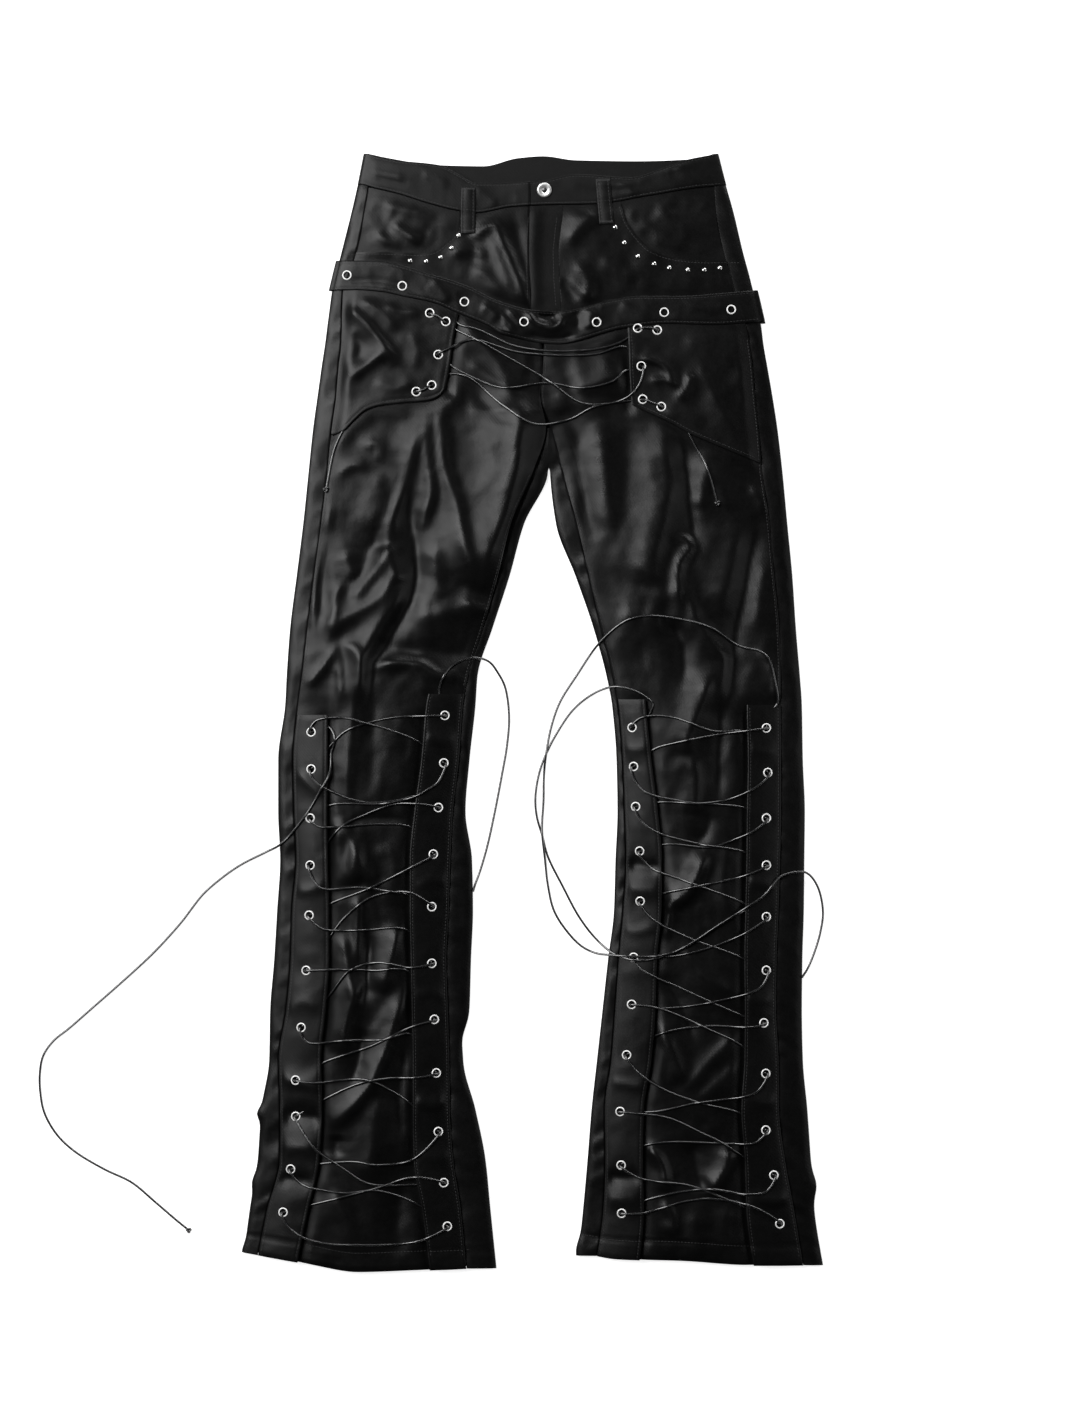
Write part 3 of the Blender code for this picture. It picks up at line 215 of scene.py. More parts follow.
# a smooth line through (t, value) pairs that never swings past them
def smoothLine(pairs):
    t, v = np.array(sorted(pairs), float).T
    secant = np.diff(v) / np.diff(t)
    slope = np.concatenate(([secant[0]], np.zeros(len(t) - 2), [secant[-1]]))
    before, after = secant[:-1], secant[1:]
    steady = before * after > 0
    slope[1:-1][steady] = 2 * before[steady] * after[steady] / (before[steady] + after[steady])

    def at(where):
        where = np.clip(where, t[0], t[-1])
        i = np.clip(np.searchsorted(t, where, side="right") - 1, 0, len(t) - 2)
        h = t[i + 1] - t[i]
        u = (where - t[i]) / h
        blend = u * u * (3 - 2 * u)
        bend = slope[i] * u * (1 - u) ** 2 + slope[i + 1] * u * u * (u - 1)
        return v[i] * (1 - blend) + v[i + 1] * blend + h * bend
    return at


def bell(away, wide):
    return np.exp(-(away / wide) ** 2)


def ease(value):
    value = np.clip(value, 0, 1)
    return value * value * (3 - 2 * value)


def jogged(line, bumps):
    return lambda y: line(y) + sum(shift * bell(y - at, half) for at, half, shift in bumps)


def sideLines(rows, toward, bumps):
    names = ("outerEdge", "sideSeam", "outerStrap", "innerStrap", "innerSeam", "innerEdge")
    lines = {name: smoothLine([(row[0], row[k]) for row in rows]) for k, name in enumerate(names, 1)}
    for name in bumps:
        lines[name] = jogged(lines[name], bumps[name])
    lines["toward"] = toward        # the way to the middle of the garment
    return lines


sides = {"right": sideLines(rightSide, 1, jogs["right"]), "left": sideLines(leftSide, -1, jogs["left"])}
waistSeam = smoothLine((
    (-176, 527), (-134, 517), (-106, 508), (-79, 501), (-57, 498), (-22, 504),
    (13, 506), (63, 507), (113, 515), (168, 524), (193, 526)))
frontTop = smoothLine((
    (-170, 558), (-137, 551), (-94, 546), (-75, 537), (-57, 528), (-37, 528),
    (10, 531), (42, 537), (97, 534), (126, 542), (151, 551), (185, 558)))
backTop = smoothLine((
    (-170, 558.5), (-94, 547), (-50, 546), (-16, 554), (10, 556), (42, 552),
    (104, 551), (160, 553), (185, 558.5)))
bandTop = smoothLine((
    (-203, 451), (-156, 450), (-100, 436), (-66, 425), (-37, 411), (0, 401),
    (24, 400), (50, 404), (76, 411), (106, 415), (148, 415), (188, 418), (228, 422)))
bandLow = smoothLine((
    (-205, 421), (-177, 421), (-152, 419), (-128, 414), (-100, 408), (-76, 398),
    (-45, 385), (-30, 376), (24, 367), (92, 383), (135, 387), (180, 386), (228, 390)))
hemLine = smoothLine((
    (-292, -541), (-230, -551), (-175, -560), (-110, -558), (-37, -556),
    (43, -542), (82, -547), (150, -549), (210, -553), (291, -554)))
flapLow = {
    "right": smoothLine(((-204, 275), (-189, 281), (-180, 290), (-167, 301), (-155, 305),
                         (-131, 308), (-106, 310), (-95, 314), (-88, 323))),
    "left": smoothLine(((98, 306), (120, 296), (139, 287), (155, 278), (185, 265), (229, 247))),
}
flapEdge = {
    "right": smoothLine(((397, -75), (371, -80), (342, -84), (323, -88))),
    "left": smoothLine(((395, 93), (368, 95), (337, 96), (306, 98))),
}
# lines that the rows of points follow down the garment, and the count of spaces to the next
rowLines = (
    (waistSeam, 3), (bandTop, 2), (bandLow, 4), (lambda x: x * 0 + cloth["forkY"], 2),
    (lambda x: x * 0 + cloth["crotchY"], 8), (lambda x: x * 0 + cloth["strapTopY"], 15),
    (lambda x: x * 0 + cloth["aboveHemY"], 2), (hemLine, 0),
)
bandRows = (3, 5)
forkRow, crotchRow, lastRow = 9, 11, 36
near = 0.001        # rows closer than this are one row
rulerX = -120.0     # the rows' spaces are measured here


# y of a row, which may lie between two of the above, at x
def rowY(row, x):
    row, x = np.broadcast_arrays(np.asarray(row, float), np.asarray(x, float))
    y = np.empty(row.shape)
    first = 0
    for (upper, spaces), (lower, _) in zip(rowLines, rowLines[1:]):
        here = (row >= first) & (row <= first + spaces)
        share = (row[here] - first) / spaces
        y[here] = upper(x[here]) * (1 - share) + lower(x[here]) * share
        first += spaces
    return y


# where rows cross a line down the garment
def meet(row, xOfY):
    x = np.zeros(np.broadcast(row, xOfY(np.zeros_like(row))).shape)
    for _ in range(7):
        y = rowY(row, x)
        x = xOfY(y)
    return x, rowY(row, x)


# rows of points about a space apart
def fineRows(first, last, space=3.2):
    rows = [float(first)]
    for row in range(first, last):
        high = float(rowY(row, rulerX) - rowY(row + 1, rulerX))
        count = max(1, round(high / space))
        rows += [row + (k + 1) / count for k in range(count)]
    return np.array(rows)


noise = {"table": (97, 89), "shift": (40.37, 31.71), "shares": (0.65, 0.35), "finer": 0.55, "turned": 0.5}


# smooth random waves from -1 to 1: size is their length across, stretch makes them longer along turn
def ripple(x, y, size, seed, turn=0.0, stretch=1.0):
    table = np.random.default_rng(seed).uniform(-1, 1, noise["table"])
    c, s = math.cos(turn), math.sin(turn)
    u = (x * c + y * s) / (size * stretch) + noise["shift"][0]
    v = (y * c - x * s) / size + noise["shift"][1]
    i, j = np.floor(u).astype(int), np.floor(v).astype(int)
    fu, fv = ease(u - i), ease(v - j)
    rows, columns = table.shape

    def knot(a, b):
        return table[a % rows, b % columns]
    low = knot(i, j) * (1 - fu) + knot(i + 1, j) * fu
    high = knot(i, j + 1) * (1 - fu) + knot(i + 1, j + 1) * fu
    return low * (1 - fv) + high * fv


# waves with narrow crests, as creased cloth has
def crumple(x, y, size, seed, turn=0.0, stretch=1.0):
    first = 1 - 2 * np.abs(ripple(x, y, size, seed, turn, stretch))
    second = ripple(x, y, size * noise["finer"], seed + 1, turn + noise["turned"], stretch)
    return noise["shares"][0] * first + noise["shares"][1] * (1 - 2 * np.abs(second))


# each of the waves is its kind, height, size, seed, turn and stretch
def wavesAt(waves, x, y, seed=0):
    return sum(high * kind(x, y, size, seed + own, *rest) for kind, high, size, own, *rest in waves)


def edgeDistance(side, x, y):
    lines = sides[side]
    outer = (x - lines["outerEdge"](y)) * lines["toward"]
    inner = (lines["innerEdge"](y) - x) * lines["toward"]
    above = np.hypot(x - cloth["centreBack"], y - cloth["crotchY"])
    return np.maximum(0, np.minimum(outer, np.where(y < cloth["crotchY"], inner, above)))


# how much the cloth swells toward the middle of a leg
def domeAt(side, x, y):
    return cloth["dome"] * (1 - np.exp(-edgeDistance(side, x, y) / cloth["domeReach"]))


# top of the cloth without its folds: rolled edges and a swelling middle
def laidTop(side, x, y):
    reach = np.minimum(1, edgeDistance(side, x, y) / cloth["edgeRoll"])
    roll = (cloth["laidHigh"] - cloth["edgeTop"]) * np.sqrt(1 - (1 - reach) ** 2)
    return cloth["edgeTop"] + roll + domeAt(side, x, y)


# the same over both legs, each on its side of the centre back
def bothLegs(shape, x, y):
    return np.where(x < cloth["centreBack"], shape("right", x, y), shape("left", x, y))


def slide(a, b, t, start, end):
    return (a * (end - t) + b * (t - start)) / (end - start)


# points about a spacing apart on a smooth curve through some; spans takes the span each lies in
def curveThrough(points, spacing, spans=None):
    points = np.array(points, float)
    padded = np.vstack((2 * points[0] - points[1], points, 2 * points[-1] - points[-2]))
    out = []
    spans = [] if spans is None else spans
    for span, (a, b, c, d) in enumerate(zip(padded, padded[1:], padded[2:], padded[3:])):
        t0, t1 = 0.0, max(np.linalg.norm(b - a), 1e-6) ** 0.5
        t2 = t1 + max(np.linalg.norm(c - b), 1e-6) ** 0.5
        t3 = t2 + max(np.linalg.norm(d - c), 1e-6) ** 0.5
        count = max(1, int(math.ceil(np.linalg.norm(c - b) / spacing)))
        for k in range(count):
            t = t1 + (t2 - t1) * k / count
            ab, bc, cd = slide(a, b, t, t0, t1), slide(b, c, t, t1, t2), slide(c, d, t, t2, t3)
            out.append(slide(slide(ab, bc, t, t0, t2), slide(bc, cd, t, t1, t3), t, t1, t2))
            spans.append(span)
    out.append(points[-1])
    spans.append(len(points) - 2)
    return np.array(out)


# distance to a line of points, its side (+1 to the left of its way) and how far along it, 0 to 1
def awayFrom(line, x, y):
    best = np.full(x.shape, 1e9)
    across, along = np.zeros(x.shape), np.zeros(x.shape)
    for k, (a, b) in enumerate(zip(line, line[1:])):
        way = b - a
        share = np.clip(((x - a[0]) * way[0] + (y - a[1]) * way[1]) / max(way @ way, 1e-9), 0, 1)
        dx, dy = x - a[0] - share * way[0], y - a[1] - share * way[1]
        away = np.hypot(dx, dy)
        closer = away < best
        best[closer] = away[closer]
        across[closer] = np.sign(way[0] * dy - way[1] * dx)[closer]
        along[closer] = ((k + share) / (len(line) - 1))[closer]
    return best, across, along


crease = {"step": 8.0, "reach": 3.2, "lean": 0.55, "taper": 0.3, "end": 0.25, "power": 1.4}


# height that the listed creases add: a crease is its points, height, half width and lean, where
# a minus height is a trough and lean, -1 to 1, steepens one flank
def creaseHeight(creases, x, y):
    total = np.zeros_like(x)
    for points, high, half, lean in creases:
        line = curveThrough(points, crease["step"])
        reach = crease["reach"] * half
        low, top = line.min(0) - reach, line.max(0) + reach
        here = (x > low[0]) & (x < top[0]) & (y > low[1]) & (y < top[1])
        if here.any():
            best, across, along = awayFrom(line, x[here], y[here])
            width = half * (1 - crease["lean"] * lean * across)
            ends = ease(np.minimum(along, 1 - along) / crease["taper"] + crease["end"])
            total[here] += high * ends * np.exp(-(best / width) ** crease["power"])
    return total


# creases of each leg's front: points from end to end, height, half width, lean
legCreases = {
    "right": (
        (((-106, 301), (-106, 270), (-104, 240), (-101, 221), (-109, 193), (-113, 180)), 3.8, 6, 0.5),
        (((-70, 325), (-82, 309), (-91, 296), (-91, 270), (-87, 240), (-76, 209), (-70, 176), (-61, 140),
          (-60, 125)),
         4.0, 9, 0.5),
        (((-113, 291), (-122, 254), (-131.5, 217), (-140.6, 191), (-145.7, 166)), 5.0, 12, 0.7),
        (((-127, 248), (-144, 205), (-156, 176), (-172, 142), (-178, 127)), -1.8, 8, 0),
        (((-145.7, 168), (-139.6, 144), (-131.5, 126.6)), 5.2, 12, 0.6),
        (((-125, 225), (-122, 190), (-117, 150), (-120, 118), (-142, 76), (-160, 42), (-164, 12)),
         -4.2, 9, 0),
        (((-131.5, 128), (-135.5, 111), (-152, 86.6), (-164, 64), (-171, 50), (-173, 11)), 5.0, 12, 0.7),
        (((-145.7, 158), (-156, 142), (-170, 125), (-178, 115), (-185.5, 114)), 2.8, 8, 0.4),
        (((-133.5, 126.4), (-148, 119), (-162, 107), (-176, 99), (-193, 88.6), (-209, 68)), 3.6, 10, 0.4),
        (((-189.6, 129.5), (-197.8, 115), (-198, 101), (-205, 78)), 2.6, 6, 0),
        (((-188, 160), (-184, 145), (-176, 135)), 3.0, 10, 0.2),
        (((-206, 190), (-211, 150), (-213, 100)), -2.8, 7, 0),
        (((-201, 217), (-209, 168), (-217, 127), (-221, 76)), 1.8, 4, 0),
        (((-193, 67), (-180, 64), (-172, 52), (-172, 11)), 3.4, 8, 0.5),
        (((-195, 66), (-203, 54), (-215, 38), (-227, 25)), 2.6, 5, 0.3),
        (((-194.7, 62), (-193.7, 36), (-192.7, 11)), 2.0, 4, 0),
        (((-166, 40), (-152, 47), (-131.5, 49), (-111, 47), (-101, 40), (-91, 36), (-78, 38), (-70, 27)),
         4.4, 6, 0.3),
        (((-123, 46), (-111, 31), (-105, 17)), 1.8, 5, 0),
        (((-122, 96), (-95, 97), (-70, 103), (-40, 99)), 3.6, 17, 0.3),
        (((-70, 111), (-58, 105), (-42, 101), (-36, 97)), 2.4, 4, 0.3),
        (((-150, 64), (-120, 62), (-90, 58), (-65, 55)), -3.2, 12, 0),
        (((-9, 320), (-12, 296), (-17, 244), (-27, 201), (-42, 158), (-54, 118)), 15.0, 31, 0.7),
        (((-68, 301), (-40, 300), (-18, 303)), 1.3, 8, -0.2),
        (((-3, 240), (-12, 205), (-26, 165), (-40, 130)), -2.4, 7, 0),
        (((-28, 172), (-36, 140), (-44, 107)), 1.2, 2.6, 0),
        (((-172, 262), (-160, 268), (-152, 262), (-158, 248)), 2.4, 8, 0),
        (((-196, 236), (-180, 246), (-166, 244)), 1.6, 5, 0),
        (((-158, 240), (-154, 215), (-166, 180)), 2.0, 12, 0.3),
        (((-98, 168), (-96, 130), (-88, 112)), 2.0, 10, 0),
    ),
    "left": (
        (((68, 292), (71, 250), (75, 215), (77, 180)), 3.4, 14, 0.4),
        (((42, 270), (47, 240), (52, 205), (60, 170)), -2.4, 8, 0),
        (((97, 285), (95, 255), (92, 225), (90, 190)), -1.8, 15, 0),
        (((126, 292), (133, 250), (134, 219), (129, 192), (120, 160), (112, 125)), 6.0, 26, 0.75),
        (((148, 275), (152, 240), (156, 209), (158.5, 178), (158, 156)), -3.2, 8, 0),
        (((139, 176), (155, 170), (157.5, 162), (149, 152), (145, 136), (145, 97)), 4.4, 5.5, 0.5),
        (((151, 133.5), (157, 111), (165.5, 88), (180, 68), (192, 54), (190, 36), (188, 11.5)),
         4.6, 12, 0.8),
        (((136, 92), (146, 74), (150, 50), (149, 22)), -3.2, 9, 0),
        (((84, 98), (106, 94), (130, 92)), 3.0, 17, 0),
        (((227, 191), (216.5, 158), (212, 127), (204, 91), (199, 60), (197, 11)), -4.2, 11, 0),
        (((206, 190), (196, 140), (184, 95)), 2.6, 14, 0),
        (((224.7, 60), (233, 54), (241, 36), (243, 11)), 2.0, 4, 0),
        (((165, 262), (185, 225), (200, 200)), 2.2, 12, 0),
        (((218, 226), (228, 212), (232, 200)), 2.0, 6, 0),
        (((176, 250), (170, 225), (166, 200)), 2.4, 8, 0.4),
        (((100, 150), (122, 132), (132, 104)), 1.8, 11, 0),
        (((232, 150), (226, 110), (224, 80)), 1.6, 8, 0),
    ),
}
shinCreases = {
    "right": (
        (((-180, 34), (-179, 9), (-183, -42), (-186, -90)), 2.4, 8, 0.3),
        (((-160, 22), (-160, -30), (-164, -88)), -1.4, 9, 0),
        (((-136, 20), (-134, -30), (-140, -80)), 0.7, 13, 0),
        (((-190, -112), (-160, -107), (-125, -110)), -1.8, 5, 0),
        (((-192, -104), (-184, -126), (-174, -148), (-166, -172)), 5.6, 19, 0.85),
        (((-146, -128), (-138, -160), (-144, -195)), 1.6, 12, 0.4),
        (((-174, -184), (-175.5, -221), (-174, -252)), 3.2, 4.5, 0.5),
        (((-163, -222), (-166, -260), (-170, -292)), -3.8, 6, 0),
        (((-134, -212), (-141, -248), (-151, -282)), 5.0, 9, 0.4),
        (((-191, -222), (-185, -255), (-181, -288)), 3.2, 8, 0.2),
        (((-170, -266), (-184, -304), (-190, -343)), 5.4, 8, 0.7),
        (((-172, -318), (-174, -345), (-182, -372)), -3.2, 7, 0),
        (((-124, -272), (-138, -312), (-158, -366), (-188, -402), (-203, -413)), 5.6, 9.5, 0.6),
        (((-128, -330), (-134, -385), (-132, -430)), -3.2, 9, 0),
        (((-156, -386), (-160, -430), (-166, -472)), 3.4, 13, 0.4),
        (((-196, -424), (-198, -445)), -2.8, 8, 0),
        (((-200, -478), (-186, -510), (-181, -535)), 2.8, 9, 0.3),
        (((-130, -470), (-136, -505), (-132, -545)), -2.2, 9, 0),
    ),
    "left": (
        (((177, 38), (167, 5), (158, -16), (150, -46)), 5.4, 12, 0.7),
        (((188, 10), (186, -40), (184, -90)), -3.6, 11, 0),
        (((158, -42), (163, -70), (160, -104)), 4.2, 12, 0.7),
        (((176, -100), (172, -122), (158, -134)), -2.4, 8, 0),
        (((173, -140), (165, -165), (151, -186), (133, -193)), 6.0, 9, 0.8),
        (((136, -190), (134, -207), (130, -228)), 3.4, 5, 0.4),
        (((196, -130), (190, -165), (194, -205)), 2.4, 10, 0),
        (((146, -230), (170, -262), (198, -280)), 2.8, 9, 0.3),
        (((128, -262), (150, -300), (160, -330)), -2.4, 8, 0),
        (((124, -312), (138, -338), (150, -372)), 3.0, 9, 0.4),
        (((152, -378), (180, -346), (206, -320)), 2.6, 9, 0.4),
        (((166, -388), (190, -366), (206, -352)), 2.0, 8, 0.3),
        (((112, -434), (124, -443), (131, -457), (133, -480)), 5.2, 6, 0.6),
        (((160, -428), (162, -450), (170, -480)), -3.0, 9, 0),
        (((198, -434), (195, -452), (185, -470), (174, -480)), 5.6, 9, 0.6),
        (((130, -488), (139, -503), (139, -524)), 3.6, 6, 0.5),
        (((165, -498), (160, -520), (166, -545)), 2.2, 10, 0),
        (((196, -494), (190, -515), (196, -540)), 2.2, 9, 0.2),
    ),
}
hipCreases = {
    "right": (
        (((-66, 472), (-52, 481), (-39, 487), (-31, 474)), 2.8, 5, 0.4),
        (((-36, 482), (-24, 455), (-12.5, 427), (-6, 404)), 4.2, 5.5, 0.5),
        (((-44, 476), (-32, 446), (-20, 418)), 2.2, 4, 0.3),
        (((-84, 456), (-62, 461), (-46, 454)), 2.2, 5, -0.3),
        (((-62, 442), (-46, 434), (-30, 416)), 1.8, 7, 0),
        (((-70, 495), (-60, 470), (-62, 445)), -1.6, 7, 0),
        (((-18, 490), (-12, 460), (-8, 430)), -1.4, 7, 0),
        (((-70, 385), (-50, 365), (-30, 340), (-20, 310)), 2.2, 9, 0.2),
        (((-66, 350), (-40, 330), (-12, 318)), 2.2, 8, 0),
        (((-60, 320), (-36, 296), (-10, 282)), -1.8, 9, 0),
    ),
    "left": (
        (((34, 468), (48, 484), (62, 497)), 3.0, 8, -0.4),
        (((40, 447), (52, 437), (57, 423), (52, 408)), 2.6, 7, 0.3),
        (((33, 434), (45, 424), (58, 412)), 1.6, 5, 0.3),
        (((28, 430), (36, 420), (44, 410)), -2.0, 6, 0),
        (((66, 452), (84, 440), (104, 432)), 1.6, 8, 0),
        (((38, 322), (66, 328), (94, 341)), 4.5, 17, -0.5),
        (((18, 318), (44, 308), (76, 304)), 1.4, 9, 0.3),
        (((22, 300), (40, 284), (52, 262)), -1.8, 9, 0),
    ),
}
# how far from each covering piece the front's folds begin to rise
cover = {"waist": 12, "band": 9, "flap": 12, "flapEnd": 200, "strap": 9, "strapTop": 16, "strapAbove": 14,
         "edge": 13}
# short ropes across the seams down the leg, with each seam's seed, and finer creases between them
pucker = {"high": 1.4, "reach": 12, "power": 1.5, "slant": 0.6, "seeds": {"sideSeam": 31, "innerSeam": 47},
          "ropes": ((ripple, 0.6, 9, 0), (ripple, 0.4, 22, 5)), "waves": ((crumple, 0.35, 15, 53, 0.4),)}
front = {
    "columns": np.concatenate((
        (0, 0.05, 0.14), np.linspace(0.3, 2, 9)[:-1], np.linspace(2, 8, 31), np.linspace(8, 9.7, 9)[1:],
        (9.86, 9.95, 10))),
    "seeds": {"right": 3, "left": 13},
    "waves": ((crumple, 0.9, 46, 0, 1.25, 1.8), (crumple, 0.42, 19, 7, 1.1, 1.5),
              (ripple, 0.9, 70, 20, 0.8), (crumple, 0.14, 9, 9, 0.4, 1.4)),
    # small flat places that catch the lamp: where, half width and length, share of the lamp's own tilt
    "facets": {"right": ((-182, -140, 9, 22, 1.0), (-168, -166, 7, 14, 0.8)), "left": ()},
    "lampTilt": (0.3, -0.17), "raise": 0.5, "strapShade": 1.3, "strapReach": 8, "strapStart": 14,
    "flapSwell": 2.4, "flapReach": 11, "flapSeam": 12, "flapEdge": 10, "flapOver": 4,
    "flySink": 0.5, "flyReach": 12, "waistSink": 0.8, "hemRound": 0.9, "hemReach": 1.2, "hemWear": 0.5,
    "hemWorn": 2.5,
}


# 1 where the front lies free, falling to 0 beneath the band, flap and straps
def covered(side, x, y):
    lines = sides[side]
    toward = lines["toward"]
    past = np.maximum((x - flapEdge[side](y)) * toward, flapLow[side](x) - y)
    between = np.minimum((x - lines["outerStrap"](y)) * toward, (lines["innerStrap"](y) - x) * toward)
    below = ease((cloth["strapTopY"] + cover["strapAbove"] - y) / cover["strapTop"])
    share = ease((waistSeam(x) - y) / cover["waist"])
    share = share * ease(np.maximum(y - bandTop(x), bandLow(x) - y) / cover["band"])
    share = share * np.where((y < bandLow(x)) & (y > cover["flapEnd"]), ease(past / cover["flap"]), 1)
    share = share * (1 - below * (1 - ease(between / cover["strap"])))
    return share * ease(edgeDistance(side, x, y) / cover["edge"])


def seamPucker(side, x, y):
    total = wavesAt(pucker["waves"], x, y)
    for name, seed in pucker["seeds"].items():
        away = np.abs(x - sides[side][name](y))
        slant = y + pucker["slant"] * away
        ropes = pucker["high"] * wavesAt(pucker["ropes"], slant, slant * 0, seed)
        total = total + ropes * np.exp(-(away / pucker["reach"]) ** pucker["power"])
    return total


# how far an edge lies beneath the piece that it is sewn to, which shades it
def sunkEdge(away):
    return cloth["seamSink"] * np.exp(-np.maximum(away, 0) / cloth["seamWide"])


def roundEdge(away):
    return cloth["roundDeep"] * np.maximum(0, 1 - np.maximum(away, 0) / cloth["roundWide"]) ** 2


# a folded edge's rounding, and the line of stitching a little way in
def foldedEdge(away, stitched, deep=0.5, reach=1.3, line=0.22, wide=0.9):
    return deep * np.maximum(0, 1 - away / reach) ** 2 + line * bell(away - stitched, wide)


def hemGroove(x, y):
    return cloth["hemDeep"] * bell(y - hemLine(x) - cloth["hemHigh"], cloth["hemWide"])


def frontHeight(side, x, y):
    lines = sides[side]
    toward = lines["toward"]
    lie = creaseHeight(legCreases[side] + shinCreases[side] + hipCreases[side], x, y)
    for atX, atY, wide, long, tilt in front["facets"][side]:
        east, north = x - atX, y - atY
        slope = front["lampTilt"][0] * east + front["lampTilt"][1] * north
        lie = lie + bell(east, wide) * bell(north, long) * slope * tilt
    lie = lie + wavesAt(front["waves"], x, y, front["seeds"][side])
    z = laidTop(side, x, y) + (lie + front["raise"]) * covered(side, x, y)
    fromStrap = np.minimum(np.abs(x - lines["outerStrap"](y)), np.abs(x - lines["innerStrap"](y)))
    shade = bell(fromStrap, front["strapReach"]) * ease((cloth["strapTopY"] - y) / front["strapStart"])
    swell = bell(flapLow[side](x) - y, front["flapReach"])     # the flap shades what falls away
    swell = swell * ease((x - lines["sideSeam"](y)) * toward / front["flapSeam"])
    swell = swell * ease(((flapEdge[side](y) - x) * toward + front["flapOver"]) / front["flapEdge"])
    z = z - front["strapShade"] * shade + front["flapSwell"] * swell
    west, east = ("sideSeam", "innerSeam") if side == "right" else ("innerSeam", "sideSeam")
    fromWest = x - lines[west](y)
    sink = sunkEdge(fromWest)
    if side == "left":                      # the fly and this front lie at one height
        level = front["flySink"] * np.exp(-np.maximum(fromWest, 0) / front["flyReach"])
        sink = np.where(y > cloth["forkY"], level, sink)
    return z - sink - roundEdge(lines[east](y) - x) - front["waistSink"] * sunkEdge(waistSeam(x) - y)


# waxed, slightly worn denim: each noise's scale, detail and roughness, and their shares in the look
waxed = {
    "cloud": (11, 4, 0.6), "blotch": (75, 4, 0.65), "fleck": (260, 3, 0.6), "grain": (1500, 2, 0.5),
    "twill": {"Scale": 190, "Distortion": 1.2}, "crackle": 330, "crackleWide": (3.0, 0.6),
    "wornShares": {"cloud": 0.35, "wear": 0.8, "fleck": 0.18}, "wornLess": 0.12,
    "roughShares": {"cloud": 0.16, "blotch": 0.11, "fleck": 0.10, "wear": -0.06},
    "heightShares": {"twill": 0.35, "grain": 0.5, "fleck": 0.8, "cracks": 0.35},
    "shine": 0.2, "bump": 0.6, "grainDeep": 0.10,
}
# each cloth's slot, dark and worn colour and lowest roughness
cloths = {
    "coatedDenim": {"slot": "coated_denim", "dark": 0.0010, "worn": 0.0036, "rough": 0.165},
    "strapDenim": {"slot": "strap_denim", "dark": 0.0010, "worn": 0.0034, "rough": 0.175},
    "waistbandDenim": {"slot": "waistband_denim", "dark": 0.0010, "worn": 0.0036, "rough": 0.235},
    "facingDenim": {"slot": "facing_denim", "dark": 0.0009, "worn": 0.0032, "rough": 0.185},
}
# colour, roughness, metal, speckle, its fineness, coat and shine of the other materials
plain = {
    "thread": ((0.007, 0.007, 0.0075), 0.55, 0, 0.3, 1600, 0, 0.5),
    "waxedLace": ((0.006, 0.006, 0.0065), 0.25, 0, 0.3, 1100, 0.7, 1.0),
    # the eyelets' steel has a near-white, mostly non-metal colour: painted reflection, standing in for the
    # light that polished steel throws back all round the ring
    "steelWithPaintedShine": ((0.95, 0.95, 0.94), 0.32, 0.2, 0.03, 420, 0, 0.5),
    "polishedSteel": ((0.80, 0.80, 0.79), 0.34, 0.8, 0.05, 1500, 0, 0.5),
    "domeSteel": ((0.80, 0.80, 0.79), 0.2, 1.0, 0.02, 900, 0, 0.5),
    "darkSteel": ((0.11, 0.11, 0.11), 0.4, 1, 0.2, 500, 0, 0.5),
}
speckled = {"coatRough": 0.15, "ramp": (0.35, 0.65), "spread": (0.85, 1.2), "bump": 0.35, "deep": 0.04}


def waxedClothGroup():
    group = bpy.data.node_groups.new("waxedCloth", "ShaderNodeTree")
    for way, sockets in (("INPUT", "Place:Vector Wear:Float Dark:Color Worn:Color Gloss:Float"),
                         ("OUTPUT", "Color:Color Roughness:Float Height:Float")):
        for name, kind in (socket.split(":") for socket in sockets.split()):
            group.interface.new_socket(name, in_out=way, socket_type="NodeSocket" + kind)
    into = addNode(group, "NodeGroupInput").outputs
    place = into["Place"]

    def combine(operation, *values):
        return addNode(group, "ShaderNodeMath", dict(enumerate(values)), operation=operation).outputs[0]

    source = {"wear": into["Wear"]}
    for name in ("cloud", "blotch", "fleck", "grain"):
        scale, detail, rough = waxed[name]
        values = {"Scale": scale, "Detail": detail, "Roughness": rough, "Vector": place}
        source[name] = addNode(group, "ShaderNodeTexNoise", values).outputs["Fac"]
    source["twill"] = addNode(group, "ShaderNodeTexWave", {**waxed["twill"], "Vector": place},
                              wave_type="BANDS", bands_direction="DIAGONAL").outputs["Fac"]
    crackle = addNode(group, "ShaderNodeTexVoronoi", {"Scale": waxed["crackle"], "Vector": place},
                      feature="DISTANCE_TO_EDGE").outputs["Distance"]
    sharp, most = waxed["crackleWide"]
    source["cracks"] = combine("MINIMUM", combine("MULTIPLY", crackle, sharp), most)

    def addUp(start, shares):
        for name, share in shares.items():
            start = combine("MULTIPLY_ADD", source[name], share, start)
        return start

    worn = combine("SUBTRACT", addUp(0.0, waxed["wornShares"]), waxed["wornLess"])
    mix = addNode(group, "ShaderNodeMix", data_type="RGBA", clamp_factor=True)
    setInputs(group, mix, {"Factor": worn, 6: into["Dark"], 7: into["Worn"]})
    addNode(group, "NodeGroupOutput", {
        "Color": mix.outputs[2], "Roughness": addUp(into["Gloss"], waxed["roughShares"]),
        "Height": addUp(0.0, waxed["heightShares"])})
    return group


waxedCloth = waxedClothGroup()


